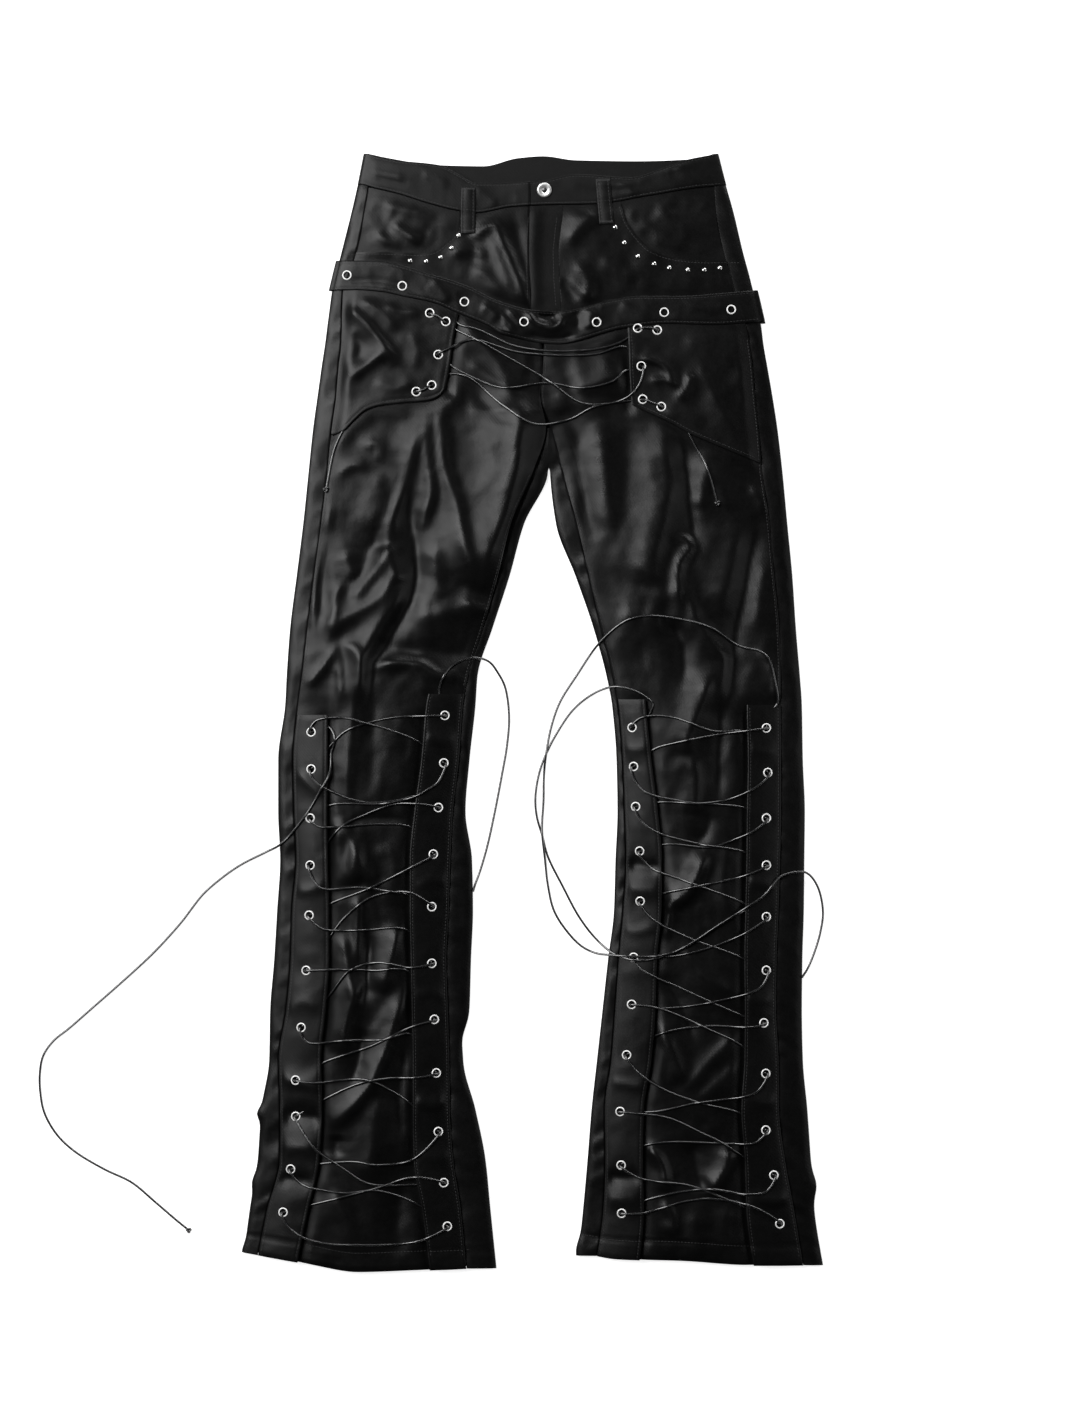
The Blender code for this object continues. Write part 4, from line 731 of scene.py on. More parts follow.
def clothMaterial(name):
    values = cloths[name]
    material, tree, shader = newMaterial(name)
    group = addNode(tree, "ShaderNodeGroup", {
        "Place": addNode(tree, "ShaderNodeTexCoord").outputs["Object"],
        "Wear": addNode(tree, "ShaderNodeAttribute", attribute_name="wear").outputs["Fac"],
        "Dark": grey(values["dark"]), "Worn": grey(values["worn"]), "Gloss": values["rough"]},
        node_tree=waxedCloth).outputs
    bump = addNode(tree, "ShaderNodeBump", {
        "Strength": waxed["bump"], "Distance": waxed["grainDeep"] * mm, "Height": group["Height"]})
    setInputs(tree, shader, {
        "Specular IOR Level": waxed["shine"], "Base Color": group["Color"], "Roughness": group["Roughness"],
        "Normal": bump.outputs["Normal"]})
    return material


# a fine speckle in the colour, roughness and height
def plainMaterial(name, colour, rough, metallic, speckle, scale, coat, shine):
    material, tree, shader = newMaterial(name)
    place = addNode(tree, "ShaderNodeTexCoord").outputs["Object"]
    grain = {"Scale": scale, "Detail": 3, "Vector": place}
    grain = addNode(tree, "ShaderNodeTexNoise", grain).outputs["Fac"]
    ramp = addNode(tree, "ShaderNodeValToRGB", {"Fac": grain})
    for step, at, share in zip(ramp.color_ramp.elements, speckled["ramp"], (1 - speckle, 1 + speckle)):
        step.color = tuple(min(1, c * share) for c in colour) + (1,)
        step.position = at
    low, high = speckled["spread"]
    spread = addNode(tree, "ShaderNodeMapRange", {
        "Value": grain, "To Min": rough * low, "To Max": rough * high})
    bump = addNode(tree, "ShaderNodeBump", {
        "Strength": speckled["bump"], "Distance": speckled["deep"] * mm, "Height": grain})
    setInputs(tree, shader, {
        "Metallic": metallic, "Coat Weight": coat, "Coat Roughness": speckled["coatRough"],
        "Specular IOR Level": shine, "Base Color": ramp.outputs["Color"],
        "Roughness": spread.outputs["Result"], "Normal": bump.outputs["Normal"]})
    return material


finishes = {name: clothMaterial(name) for name in cloths}
finishes.update({name: plainMaterial(name, *values) for name, values in plain.items()})
print("materials")


def finishPiece(piece, finish, nodes=()):
    piece.data.materials.append(finishes[finish])
    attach(piece, "root")
    if nodes:
        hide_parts(*nodes)


def meshObject(name, points, faces):
    mesh = bpy.data.meshes.new(name)
    faces = [tuple(int(k) for k in face) for face in faces]
    mesh.from_pydata((np.asarray(points, float) * mm).tolist(), [], faces)
    mesh.validate()
    return addObject(name, mesh)


def gridQuads(rows, columns):
    a = np.arange(rows * columns).reshape(rows, columns)
    return np.stack((a[:-1, :-1], a[1:, :-1], a[1:, 1:], a[:-1, 1:]), -1).reshape(-1, 4)


def applyModifier(piece, kind, **settings):
    pick(piece)
    modifier = piece.modifiers.new("m", kind)
    for name, value in settings.items():
        setattr(modifier, name, value)
    bpy.ops.object.modifier_apply(modifier="m")


def smoothShade(piece, angle=cloth["smoothAngle"]):
    pick(piece)
    bpy.ops.object.shade_smooth_by_angle(angle=math.radians(angle))


def editMesh(piece, change):
    shape = bmesh.new()
    shape.from_mesh(piece.data)
    change(shape)
    shape.to_mesh(piece.data)
    shape.free()


def blurred(z, times):
    for _ in range(times):
        z = np.pad(z, 1, mode="edge")
        z = (z[:-2, 1:-1] + z[2:, 1:-1] + z[1:-1, :-2] + z[1:-1, 2:]) / 4
    return z


# how far each point of a sheet stands above its neighbourhood, 0 to 1
def wearOf(z, times=14, gain=0.9):
    return np.clip((z - blurred(z, times)) * gain, 0, 1)


# quads that lie clear of the holes; the points round each hole move on to its circle
def openHoles(x, y, quads, holes, radius):
    midX, midY = x[quads].mean(1), y[quads].mean(1)
    keep = np.ones(len(quads), bool)
    for hx, hy in holes:
        keep &= np.hypot(midX - hx, midY - hy) > radius
    for k in np.intersect1d(quads[keep], quads[~keep]):
        for hx, hy in holes:
            dx, dy = x[k] - hx, y[k] - hy
            away = math.hypot(dx, dy)
            if away < radius * 2:
                x[k], y[k] = hx + dx * radius / away, hy + dy * radius / away
                break
    return quads[keep]


# a wall beneath a skin of upper points
def closeSheet(name, x, y, z, quads, wear, wall, finish, nodes, weld=False):
    used = np.unique(quads)
    place = np.full(x.size, -1)
    place[used] = np.arange(len(used))
    piece = meshObject(name, np.stack((x, y, z), -1)[used], place[quads])
    attribute = piece.data.attributes.new("wear", "FLOAT", "POINT")
    attribute.data.foreach_set("value", wear[used].astype(np.float32))
    if weld:
        editMesh(piece, lambda shape: bmesh.ops.remove_doubles(shape, verts=shape.verts, dist=0.02 * mm))
    applyModifier(piece, "SOLIDIFY", thickness=wall * mm, offset=-1.0)
    smoothShade(piece)
    finishPiece(piece, finish, nodes)
    return piece


# flip turns the faces of a grid that runs the other way
def makeSheet(node, x, y, z, wall, finish, flip=False, holes=(), wear=None):
    wear = wearOf(z) if wear is None else wear
    quads = gridQuads(*x.shape)
    x, y = x.flatten(), y.flatten()
    if holes:
        quads = openHoles(x, y, quads, holes, eyelet["hole"])
    quads = quads[:, ::-1] if flip else quads
    return closeSheet(node + "_cloth", x, y, z.ravel(), quads, wear.ravel(), wall, finish, [node])


rightPocket = ((-74, 520), (-74, 506), (-76.5, 480), (-81, 474), (-88, 468), (-97, 461), (-107, 458),
               (-150, 459), (-190, 459))
leftPocket = ((84, 530), (84, 515), (87, 508), (92, 491), (98, 481), (105, 472), (114, 463), (126, 457),
              (141, 453), (164, 450.5), (205, 451))
pockets = {"right": curveThrough(rightPocket, 3.0), "left": curveThrough(leftPocket, 3.0)}
opening = {"far": {"right": -240, "left": 250}, "high": 600, "from": -5, "to": 30}


def frontX(side, column, y):
    lines = sides[side]
    gap = cloth["gap"] / 2 * lines["toward"]
    seam, outer = lines["sideSeam"](y) + gap, lines["outerStrap"](y)
    inner, centre = lines["innerStrap"](y), lines["innerSeam"](y) - gap
    first = seam + (outer - seam) * column / 2
    second = outer + (inner - outer) * (column - 2) / 6
    third = inner + (centre - inner) * (column - 8) / 2
    return np.where(column <= 2, first, np.where(column <= 8, second, third))


def frontGrid(side, rows, columns):
    row, column = np.meshgrid(rows, columns, indexing="ij")
    x, y = meet(row, lambda at: frontX(side, column, at))
    return x, y - np.where(row == 0, cloth["gap"], 0)


# cuts the pocket opening out of a front
def cutOpening(piece, side):
    line, far, top = pockets[side], opening["far"][side], opening["high"]
    outline = [tuple(p) for p in line] + [(far, line[-1][1]), (far, top), (line[0][0], top)]
    count = len(outline)
    points = [(px, py, z) for z in (opening["from"], opening["to"]) for px, py in outline]
    faces = [tuple(reversed(range(count))), tuple(range(count, 2 * count))]
    faces += [(k, (k + 1) % count, count + (k + 1) % count, count + k) for k in range(count)]
    cutter = meshObject("cutter", points, faces)
    editMesh(cutter, lambda shape: bmesh.ops.recalc_face_normals(shape, faces=shape.faces))
    applyModifier(piece, "BOOLEAN", operation="DIFFERENCE", object=cutter, solver="EXACT")
    bpy.data.objects.remove(cutter)
    smoothShade(piece)


def makeFront(side):
    x, y = frontGrid(side, fineRows(0, lastRow), front["columns"])
    hem = y - hemLine(x)
    z = frontHeight(side, x, y) - hemGroove(x, y) - front["hemRound"] * bell(hem, front["hemReach"])
    wear = wearOf(z) + front["hemWear"] * bell(hem, front["hemWorn"])
    panel = makeSheet("front_" + side, x, y, z, cloth["wall"], "coatedDenim", side == "left", wear=wear)
    cutOpening(panel, side)
    return panel


fronts = {side: makeFront(side) for side in sides}
print("fronts")


facings = {"right": {"inner": -67, "low": 449}, "left": {"inner": 77, "low": 441}}
facing = {"points": (26, 40), "sunk": 0.4, "pocketReach": 12, "endReach": 0.2,
          "waves": ((crumple, 0.7, 30, 61, 0.5), (crumple, 0.3, 14, 63, 1.5))}
facingCreases = (
    (((-143, 488), (-128, 478), (-112, 468)), 2.6, 7, -0.3),
    (((-150, 505), (-126, 500), (-100, 492)), 1.8, 8, 0),
    (((-158, 480), (-146, 470), (-132, 464)), 1.4, 6, 0),
    (((92, 500), (98, 486), (107, 474)), 2.2, 6, 0.3),
    (((120, 502), (142, 489), (168, 480)), 1.8, 10, 0),
    (((104, 490), (128, 477), (150, 464)), 1.8, 7, 0.3),
)
fly = {"columns": 15, "space": 2.5, "sunk": 0.5, "fold": (0.7, 0.15, 0.2), "waistReach": 10, "bandReach": 8,
       "waves": ((ripple, 0.5, 26, 71, 0.3, 1.5),)}


def makeFacing(side):
    lines, inner, lowest = sides[side], facings[side]["inner"], facings[side]["low"]
    gap = cloth["gap"] / 2 * lines["toward"]
    down, across = np.meshgrid(*(np.linspace(0, 1, count) for count in facing["points"]), indexing="ij")
    y = waistSeam(inner) * (1 - down) + lowest * down
    for _ in range(5):
        seam = lines["sideSeam"](y) + gap
        x = seam + (inner - seam) * across
        y = (waistSeam(x) - cloth["gap"]) * (1 - down) + lowest * down
    lie = creaseHeight(facingCreases, x, y) + wavesAt(facing["waves"], x, y)
    away, across, _ = awayFrom(pockets[side], x, y)
    inside = ease(away / facing["pocketReach"]) * (across == -lines["toward"])
    inside = inside * ease(np.minimum(down, 1 - down) / facing["endReach"])
    z = laidTop(side, x, y) - cloth["wall"] - facing["sunk"] + lie * inside
    return makeSheet("pocket_facing_" + side, x, y, z, cloth["wall"], "facingDenim", side == "left")


def makeFly():
    rows = fineRows(0, bandRows[1], fly["space"])
    (startX, startY), (endX, endY) = (frontGrid(side, rows, np.array([10.0])) for side in ("right", "left"))
    share = np.linspace(0, 1, fly["columns"])[None, :]
    startX, endX = startX + cloth["gap"], endX - cloth["gap"]
    x = startX + (endX - startX) * share
    y = startY + (endY - startY) * share
    high, at, wide = fly["fold"]
    lie = wavesAt(fly["waves"], x, y) + high * bell(share - at, wide)
    z = laidTop("right", x, y) - fly["sunk"]
    z = z + lie * ease((waistSeam(x) - y) / fly["waistReach"]) * ease((y - bandTop(x)) / fly["bandReach"])
    return makeSheet("fly", x, y, z, cloth["wall"], "coatedDenim")


facingPieces = [makeFacing(side) for side in facings]
flyPiece = makeFly()
print("facings and fly")


back = {
    "bandRaise": 1.9, "seamLap": 0.35, "waistLap": 0.9, "space": 4.0, "edgeReach": 7, "wear": (6, 1.4),
    "tuck": (1.2, 1.4),     # where and how fast its top sinks beneath the waistband
    "waistDip": smoothLine(((0, -29), (1, -16), (2, -5), (3, 0), (40, 0))),
    # shares of the way from seam to edge, and of the way across the floor
    "strip": (0, 0.02, 0.06, 0.13, 0.22, 0.34, 0.46, 0.58, 0.7, 0.8, 0.88, 0.94, 0.98, 1.0),
    "under": (0.02, 0.08, 0.2, 0.35, 0.5, 0.65, 0.8, 0.92, 0.98, 1.0),
    # round the outer edge: way in, share of the floor's raise, least height
    "outerRoll": ((-0.2, 0, 3.0), (0.5, 0.5, 1.4), (1.8, 1, 0.35), (cloth["edgeFoot"], 1, 0)),
    # round the inner edge: way in and height below the crotch, and the same at the centre back
    "innerRoll": ((0, 3.0, 0, 3.4), (0.5, 1.4, 0, 1.4), (1.8, 0.3, 0.4, 0.3)),
}


def stripHeight(side, x, y):
    start, reach = back["tuck"]
    sunk = ease((y - waistSeam(x) + start) / reach)
    lie = seamPucker(side, x, y) * ease(edgeDistance(side, x, y) / back["edgeReach"])
    return laidTop(side, x, y) + lie - hemGroove(x, y) - sunk


# the strip that shows between a seam and the edge
def stripColumns(side, x0, y0, x1, y1, sunk):
    columns = []
    for share in back["strip"]:
        x, y = x0 + (x1 - x0) * share, y0 + (y1 - y0) * share
        away = np.abs(x - x0)
        columns.append((x, y, stripHeight(side, x, y) - (sunkEdge(away) if sunk else roundEdge(away))))
    return columns


# one skin from the side seam round the edge and along the floor, and one up to the inner seam
def makeBack(side):
    lines = sides[side]
    toward = lines["toward"]
    gap = cloth["gap"] / 2 * toward
    rows = fineRows(0, lastRow, back["space"])
    top = rows == 0
    x0, y0 = meet(rows, lambda y: lines["sideSeam"](y) - gap)
    x1, y1 = meet(rows, lambda y: lines["innerSeam"](y) + gap)
    edgeY = rowY(rows, lines["outerEdge"](y0 - top * cloth["gap"])) + top * back["waistLap"]
    edge = lines["outerEdge"](edgeY)
    y0 = y0 + top * back["waistLap"]
    inBand = (rows >= bandRows[0] - near) & (rows <= bandRows[1] + near)
    floor = np.where(inBand, back["bandRaise"], 0.0)
    floor = blurred(floor[:, None].repeat(3, 1), 3)[:, 1]
    floor[inBand] = back["bandRaise"]
    seam = cloth["centreBack"] + back["seamLap"] * toward
    low = rows >= crotchRow
    inner = np.where(low, lines["innerEdge"](y1), seam)
    footX = inner - cloth["edgeFoot"] * toward
    other = meet(rows, sides["left" if side == "right" else "right"]["sideSeam"])[1]
    centreY = np.where(rows < forkRow, (y0 + other) / 2 + back["waistDip"](rows), y1)

    outerSkin = stripColumns(side, x0, y0, edge, edgeY, side == "left")
    outerSkin += [(edge + way * toward, edgeY, np.maximum(floor * share, least))
                  for way, share, least in back["outerRoll"]]
    heel = edge + cloth["edgeFoot"] * toward
    outerSkin += [(heel + (footX - heel) * share, edgeY + (centreY - edgeY) * share, floor)
                  for share in back["under"]]
    outerSkin.append((np.where(rows < forkRow + near, seam, footX), centreY, floor))
    innerSkin = stripColumns(side, x1, y1, inner, y1, side == "right")
    innerSkin += [(inner - np.where(low, way, wayAbove) * toward, y1, np.where(low, high, highAbove))
                  for way, high, wayAbove, highAbove in back["innerRoll"]]
    innerSkin.append((footX, centreY, floor))

    above = rows[:-1] < forkRow - near
    points, quads, wear = [], [], []
    for columns, leftOut in ((outerSkin, (~above, -1)), (innerSkin[::-1], above)):
        x, y, z = np.array(columns).transpose(1, 2, 0)
        skip = np.zeros((x.shape[0] - 1, x.shape[1] - 1), bool)
        skip[leftOut] = True
        quads.append(gridQuads(*x.shape)[~skip.ravel()] + sum(part.shape[1] for part in points))
        points.append(np.stack((x.ravel(), y.ravel(), z.ravel())))
        wear.append(wearOf(z, *back["wear"]).ravel())
    x, y, z = np.concatenate(points, axis=1)
    quads = np.concatenate(quads)[:, ::-1] if side == "right" else np.concatenate(quads)
    return closeSheet("back_" + side + "_cloth", x, y, z, quads, np.concatenate(wear), cloth["wall"],
                      "coatedDenim", ["back_" + side], weld=True)


backs = {side: makeBack(side) for side in sides}
print("backs")


waist = {
    "opening": -3.0, "top": 6.4, "fold": (2.2, 0.6), "space": 4.0, "lap": (0.7, 14), "lapEdge": (0.5, 1.2),
    "lapUnder": 0.5, "upperFrom": 5, "sides": (-170, 185), "sideReach": 16, "edgeReach": 6, "domeTop": 520,
    # from x to x with so many stations
    "rightHalf": (-158, 54), "behind": (-152, 168, 60), "leftHalf": (176, 62),
    "rows": (0, 0.012, 0.03, 0.055, 0.08, 0.12, 0.2, 0.3, 0.4, 0.5, 0.6, 0.7, 0.8, 0.88, 0.92, 0.945,
             0.97, 0.988, 1),
    # round the side seams: x and y of the upper edge and of the lower one, and height
    "rightEnd": ((-167, 558, -172.5, 527.3, 5.8), (-170, 558.2, -176, 527.2, 4.6),
                 (-170, 558.4, -176, 527.2, 1.6), (-166, 558.4, -172, 527.2, 0)),
    "leftEnd": ((181, 558.4, 189, 526.6, 0), (185, 558.4, 193, 526.6, 1.6),
                (185, 558.2, 193, 526.6, 4.6), (182, 558, 189.5, 526.6, 5.8)),
    "backSeam": ((-172, 11.8, 18.8, 189), (527.0, 496.4, 496.4, 525.8)),
    "waves": ((ripple, 0.45, 34, 81, 0.2, 1.6), (crumple, 0.25, 22, 83, 1.3)),
}
waistCreases = (
    (((-170, 541), (-148, 536), (-126, 533)), 1.1, 2.6, 0.3),
    (((-160, 535), (-142, 530), (-124, 528)), -0.8, 2.2, 0),
    (((-112, 538), (-96, 532), (-84, 524)), 0.9, 4, 0.3),
    (((62, 530), (84, 526), (104, 528)), 0.8, 2.4, 0),
    (((44, 522), (66, 519), (92, 521)), -0.7, 2.2, 0),
    (((112, 540), (134, 542), (158, 546)), 0.8, 2.6, 0),
    (((-60, 524), (-44, 512), (-36, 505)), 0.8, 5, 0),
    (((84, 531), (96, 522), (102, 512)), 0.9, 5, 0.3),
    (((140, 545), (152, 536), (170, 530)), 0.9, 5, 0),
)


def makeWaistband():
    gap = cloth["gap"] / 2

    def inFront(*span):
        return [(x, frontTop(x), x, waistSeam(x) + gap, waist["top"]) for x in np.linspace(*span)]

    end, count = waist["leftHalf"]
    stations = inFront(waist["opening"] - gap, *waist["rightHalf"]) + list(waist["rightEnd"])
    stations += [(x, backTop(x), x, np.interp(x, *waist["backSeam"]), 0)
                 for x in np.linspace(*waist["behind"])]
    stations += list(waist["leftEnd"]) + inFront(end, waist["opening"] + gap, count)
    topX, topY, lowX, lowY, high = curveThrough(stations, waist["space"]).T
    share = np.array(waist["rows"])[:, None]
    x = topX + (lowX - topX) * share
    y = topY + (lowY - topY) * share
    z = np.maximum(high, 0) + 0 * share
    edge = np.minimum(share, 1 - share) * (topY - lowY)
    upper = z > waist["upperFrom"]
    fromSides = np.minimum(x - waist["sides"][0], waist["sides"][1] - x)
    lie = wavesAt(waist["waves"], x, y) + creaseHeight(waistCreases, x, y)
    lie = lie * ease(fromSides / waist["sideReach"]) * ease(edge / waist["edgeReach"])
    shape = bothLegs(domeAt, x, np.minimum(y, waist["domeTop"])) + lie - foldedEdge(edge, *waist["fold"])
    fromEnd = waist["opening"] - x          # the end on the right front laps over the other
    (lapHigh, lapReach), (edgeDeep, edgeReach) = waist["lap"], waist["lapEdge"]
    lap = lapHigh * bell(fromEnd, lapReach) - edgeDeep * np.maximum(0, 1 - fromEnd / edgeReach) ** 2
    z = z + np.where(upper, shape + np.where(fromEnd > 0, lap, -waist["lapUnder"] * (fromEnd < 0)), 0)
    return makeSheet("waistband", x, y, z, cloth["bandWall"], "waistbandDenim", flip=True)


waistband = makeWaistband()
print("waistband")


eyelet = {
    "hole": 4.4, "reach": 5.2, "lift": 0.18, "points": 26, "dimple": 0.3, "dimpleReach": 60, "profile": (
        (3.5, -1.7), (3.5, 0.2), (3.58, 0.5), (3.8, 0.72), (4.2, 0.75), (4.6, 0.5), (4.85, 0.0),
        (4.8, -0.25), (4.55, -0.3), (3.9, -0.45), (3.85, -1.7))}


# folds keep a share of their height at a piece's edge
def partly(away, part):
    return part["edgeShare"] + (1 - part["edgeShare"]) * ease(away / part["edgeReach"])


# the cloth is pressed down round each eyelet
def dimples(x, y, places):
    return sum(eyelet["dimple"] * np.exp(-(((x - hx) ** 2 + (y - hy) ** 2) / eyelet["dimpleReach"]))
               for hx, hy in places)


hipBand = {
    "lift": 2.4, "proud": {"right": 3.5, "left": 5.0}, "inset": 1.5, "columns": 240, "backColumns": 30,
    "fold": (2.6,), "raise": 0.35, "endHigh": 6.6, "endSlope": 0.35, "endReach": 18,
    "edgeReach": 6, "edgeShare": 0.35, "ends": (0.02, 6),
    "rows": (0, 0.015, 0.045, 0.08, 0.13, 0.18, 0.24, 0.31, 0.38, 0.45, 0.52, 0.59, 0.66, 0.72, 0.78,
             0.83, 0.87, 0.92, 0.955, 0.985, 1),
    "roll": ((1.5, 3.7), (1.5, 4.3), (1.35, 5.0), (0.9, 5.8)),
    "backRoll": ((0, 3.3), (0, 2.0), (1.0, 0.7), (4, 0)),
    "waves": ((ripple, 0.45, 30, 91, 1.2, 1.5), (crumple, 0.25, 18, 93, 1.5)),
    "eyelets": ((-186.5, 436), (-131, 425), (-69, 409), (-9.5, 389), (63, 388.5), (130.5, 398.5),
                (197.5, 401.5)),
}
bandCreases = (
    (((3, 397), (12, 393), (22, 396)), -3.4, 5.5, 0),      # the buckled middle: hollow and lip
    (((-6, 402), (-2, 392), (7, 386), (19.6, 384), (27, 388), (31, 399)), 2.8, 3.6, 0.2),
    (((-10, 377), (4, 373), (22, 371), (42, 376)), -2.4, 5, 0),
    (((40, 400), (45, 390), (42, 380)), -2.0, 7, 0),
    (((60, 402), (56, 391), (58, 382)), 1.8, 8, -0.2),
    (((-33, 397), (-26, 390), (-18, 381)), 1.4, 2.4, 0.3),
    (((-31, 390), (-26, 383), (-20, 377)), 1.1, 2.2, 0.3),
    (((-26, 401), (-18, 394), (-11, 384)), 1.5, 2.6, 0.3),
    (((-36, 383), (-24, 378), (-8, 375)), 0.9, 2.0, 0),
    (((-52, 406), (-42, 400), (-34, 392)), 1.6, 6, 0.3),
    (((-190, 430), (-150, 430), (-112, 418)), -0.9, 4, 0),
    (((-104, 430), (-92, 420), (-84, 408)), 0.9, 7, 0),
    (((86, 408), (100, 400), (118, 394)), 1.0, 6, 0.3),
    (((150, 408), (172, 402), (196, 404)), 0.9, 6, 0),
)


def makeHipBand():
    across = np.array(hipBand["rows"])[:, None]
    rim, count = hipBand["ends"]
    u = np.concatenate((np.linspace(0, rim, count)[:-1], np.linspace(rim, 1 - rim, hipBand["columns"]),
                        np.linspace(1 - rim, 1, count)[1:]))[None, :]
    y = bandTop(-200.0) * (1 - across) + bandLow(-200.0) * across + 0 * u
    for _ in range(5):
        first = sides["right"]["outerEdge"](y) - hipBand["proud"]["right"] + hipBand["inset"]
        last = sides["left"]["outerEdge"](y) + hipBand["proud"]["left"] - hipBand["inset"]
        x = first + (last - first) * u
        y = bandTop(x) * (1 - across) + bandLow(x) * across
    end = np.minimum(x - first, last - x)
    edge = np.minimum(across, 1 - across) * (bandTop(x) - bandLow(x))
    z = bothLegs(laidTop, x, y) + hipBand["lift"]
    z = np.minimum(z, hipBand["endHigh"] + end * hipBand["endSlope"])
    lie = creaseHeight(bandCreases, x, y) + wavesAt(hipBand["waves"], x, y) + hipBand["raise"]
    z = z + lie * ease(end / hipBand["endReach"]) * partly(edge, hipBand)
    z = z - foldedEdge(edge, *hipBand["fold"]) - dimples(x, y, hipBand["eyelets"])
    startY, endY = y[:, :1], y[:, -1:]
    columns = [(first[:, :1] - way, startY, startY * 0 + high) for way, high in hipBand["roll"]]
    columns.append((x, y, z))
    columns += [(last[:, -1:] + way, endY, endY * 0 + high) for way, high in hipBand["roll"][::-1]]
    x, y, z = (np.concatenate(part, axis=1) for part in zip(*columns))
    return makeSheet("hip_band_front", x, y, z, cloth["strapWall"], "strapDenim", holes=hipBand["eyelets"])


# the band's back half, plain, under the seat
def makeHipBandBack():
    rows = np.linspace(*bandRows, 9)
    dip = back["waistDip"](rows)
    ends = []
    for side in ("left", "right"):
        lines = sides[side]
        y = meet(rows, lines["sideSeam"])[1]
        ends += [lines["outerEdge"](y) - hipBand["proud"][side] * lines["toward"], y]
    leftX, leftY, rightX, rightY = ends
    roll = hipBand["backRoll"]
    columns = [(leftX - way, leftY, leftY * 0 + high) for way, high in roll]
    startX, endX = leftX - roll[-1][0], rightX + roll[-1][0]
    middle = (startX + endX) / 2
    for share in np.linspace(0, 1, hipBand["backColumns"])[1:-1]:
        x = startX * (1 - share) + endX * share
        bend = 1 - np.abs(x - middle) / (startX - middle)
        columns.append((x, leftY * (1 - share) + rightY * share + dip * bend, x * 0))
    columns += [(rightX + way, rightY, rightY * 0 + high) for way, high in roll[::-1]]
    x, y, z = np.array(columns).transpose(1, 2, 0)
    return makeSheet("hip_band_back", x, y, z, cloth["wall"], "strapDenim")


band = makeHipBand()
makeHipBandBack()
print("hip band")


# lift: at the seam, what it gains away from it, and what the free edge stands off besides
flap = {
    "lift": (0.5, 2.3, 1.6), "offReach": 9, "seamReach": 14, "seamIn": 0.6, "hangReach": 14, "topLess": 0.1,
    "raise": 0.4, "edgeReach": 8, "edgeShare": 0.3, "fold": (3.2,), "middleY": 340.0,
    # shares of the way down and across: first, last, and how many between
    "down": ((0, 0.012, 0.03), (0.965, 0.98, 0.99, 1), 38),
    "across": ((0, 0.01, 0.03), (0.965, 0.98, 0.99, 1), 36),
    "waves": ((crumple, 0.5, 30, 0, 0.8), (ripple, 0.5, 44, 3), (crumple, 0.16, 13, 5, 0.4)),
    "seeds": {"right": 101, "left": 111},
    "eyelets": {
        "right": ((-103.5, 397.5), (-87.5, 389), (-95, 356), (-101.5, 325.5), (-117, 319)),
        "left": ((123.5, 380.5), (104, 382.5), (107.5, 344.5), (109, 311.5), (127.5, 304))},
}
flapCreases = {
    "right": (
        (((-192, 404), (-176, 396), (-160, 380), (-146, 361), (-134, 346)), 3.4, 7, 0.5),
        (((-146, 361), (-163, 348), (-184, 332)), 3.0, 7, 0.4),
        (((-172, 412), (-150, 396), (-134, 380)), 1.8, 7, 0.3),
        (((-150, 405), (-130, 398), (-112, 400)), 1.4, 6, 0),
        (((-160, 330), (-140, 322), (-118, 330)), 1.6, 8, 0),
        (((-196, 360), (-188, 340), (-190, 312)), 1.8, 9, 0),
        (((-180, 378), (-172, 362), (-178, 348)), -1.8, 8, 0),
        (((-124, 380), (-116, 360), (-120, 340)), 1.2, 8, 0.2),
    ),
    "left": (
        (((104, 352), (122, 349), (135, 339), (140, 322)), 2.8, 5, -0.5),
        (((116, 330), (132, 331), (146, 324)), 2.0, 4.5, 0.3),
        (((142, 310), (152, 322), (157, 338)), 3.0, 5.5, 0.6),
        (((150, 372), (175, 362), (205, 350)), 1.4, 10, 0.2),
        (((168, 345), (182, 310), (202, 278)), 2.0, 11, 0.3),
        (((205, 375), (214, 335), (216, 300)), 1.4, 9, 0),
        (((128, 300), (148, 296), (170, 284)), 1.6, 7, 0),
    ),
}


def spread(first, last, count):
    return np.concatenate((first, np.linspace(0.05, 0.95, count), last))


def makeFlap(side):
    lines = sides[side]
    toward = lines["toward"]
    down, share = spread(*flap["down"])[:, None], spread(*flap["across"])[None, :]
    y = np.full((down.size, share.size), flap["middleY"])
    for _ in range(12):
        seam = lines["sideSeam"](y) + flap["seamIn"] * toward
        x = seam + (flapEdge[side](y) - seam) * share
        topY = bandLow(x) - cloth["gap"] - flap["topLess"]
        y = topY + (flapLow[side](x) - topY) * down
    inner = ease((x - lines["sideSeam"](y)) * toward / flap["seamReach"])
    hang = ease((topY - y) / flap["hangReach"])
    fromFree = np.minimum((flapEdge[side](y) - x) * toward, y - flapLow[side](x))
    low, gain, off = flap["lift"]
    lift = cloth["gap"] + (low + gain * inner) * (0.9 + 0.1 * hang)
    lift = lift + off * inner * hang * np.exp(-fromFree / flap["offReach"])
    lie = creaseHeight(flapCreases[side], x, y) + wavesAt(flap["waves"], x, y, flap["seeds"][side])
    z = laidTop(side, x, y) + lift + cloth["strapWall"]
    z = z + (lie + flap["raise"]) * hang * partly(fromFree, flap) * inner
    z = z - foldedEdge(fromFree, *flap["fold"]) - dimples(x, y, flap["eyelets"][side])
    return makeSheet("flap_" + side, x, y, z, cloth["strapWall"], "strapDenim", side == "left",
                     flap["eyelets"][side])


flapPieces = [makeFlap(side) for side in sides]
print("flaps")


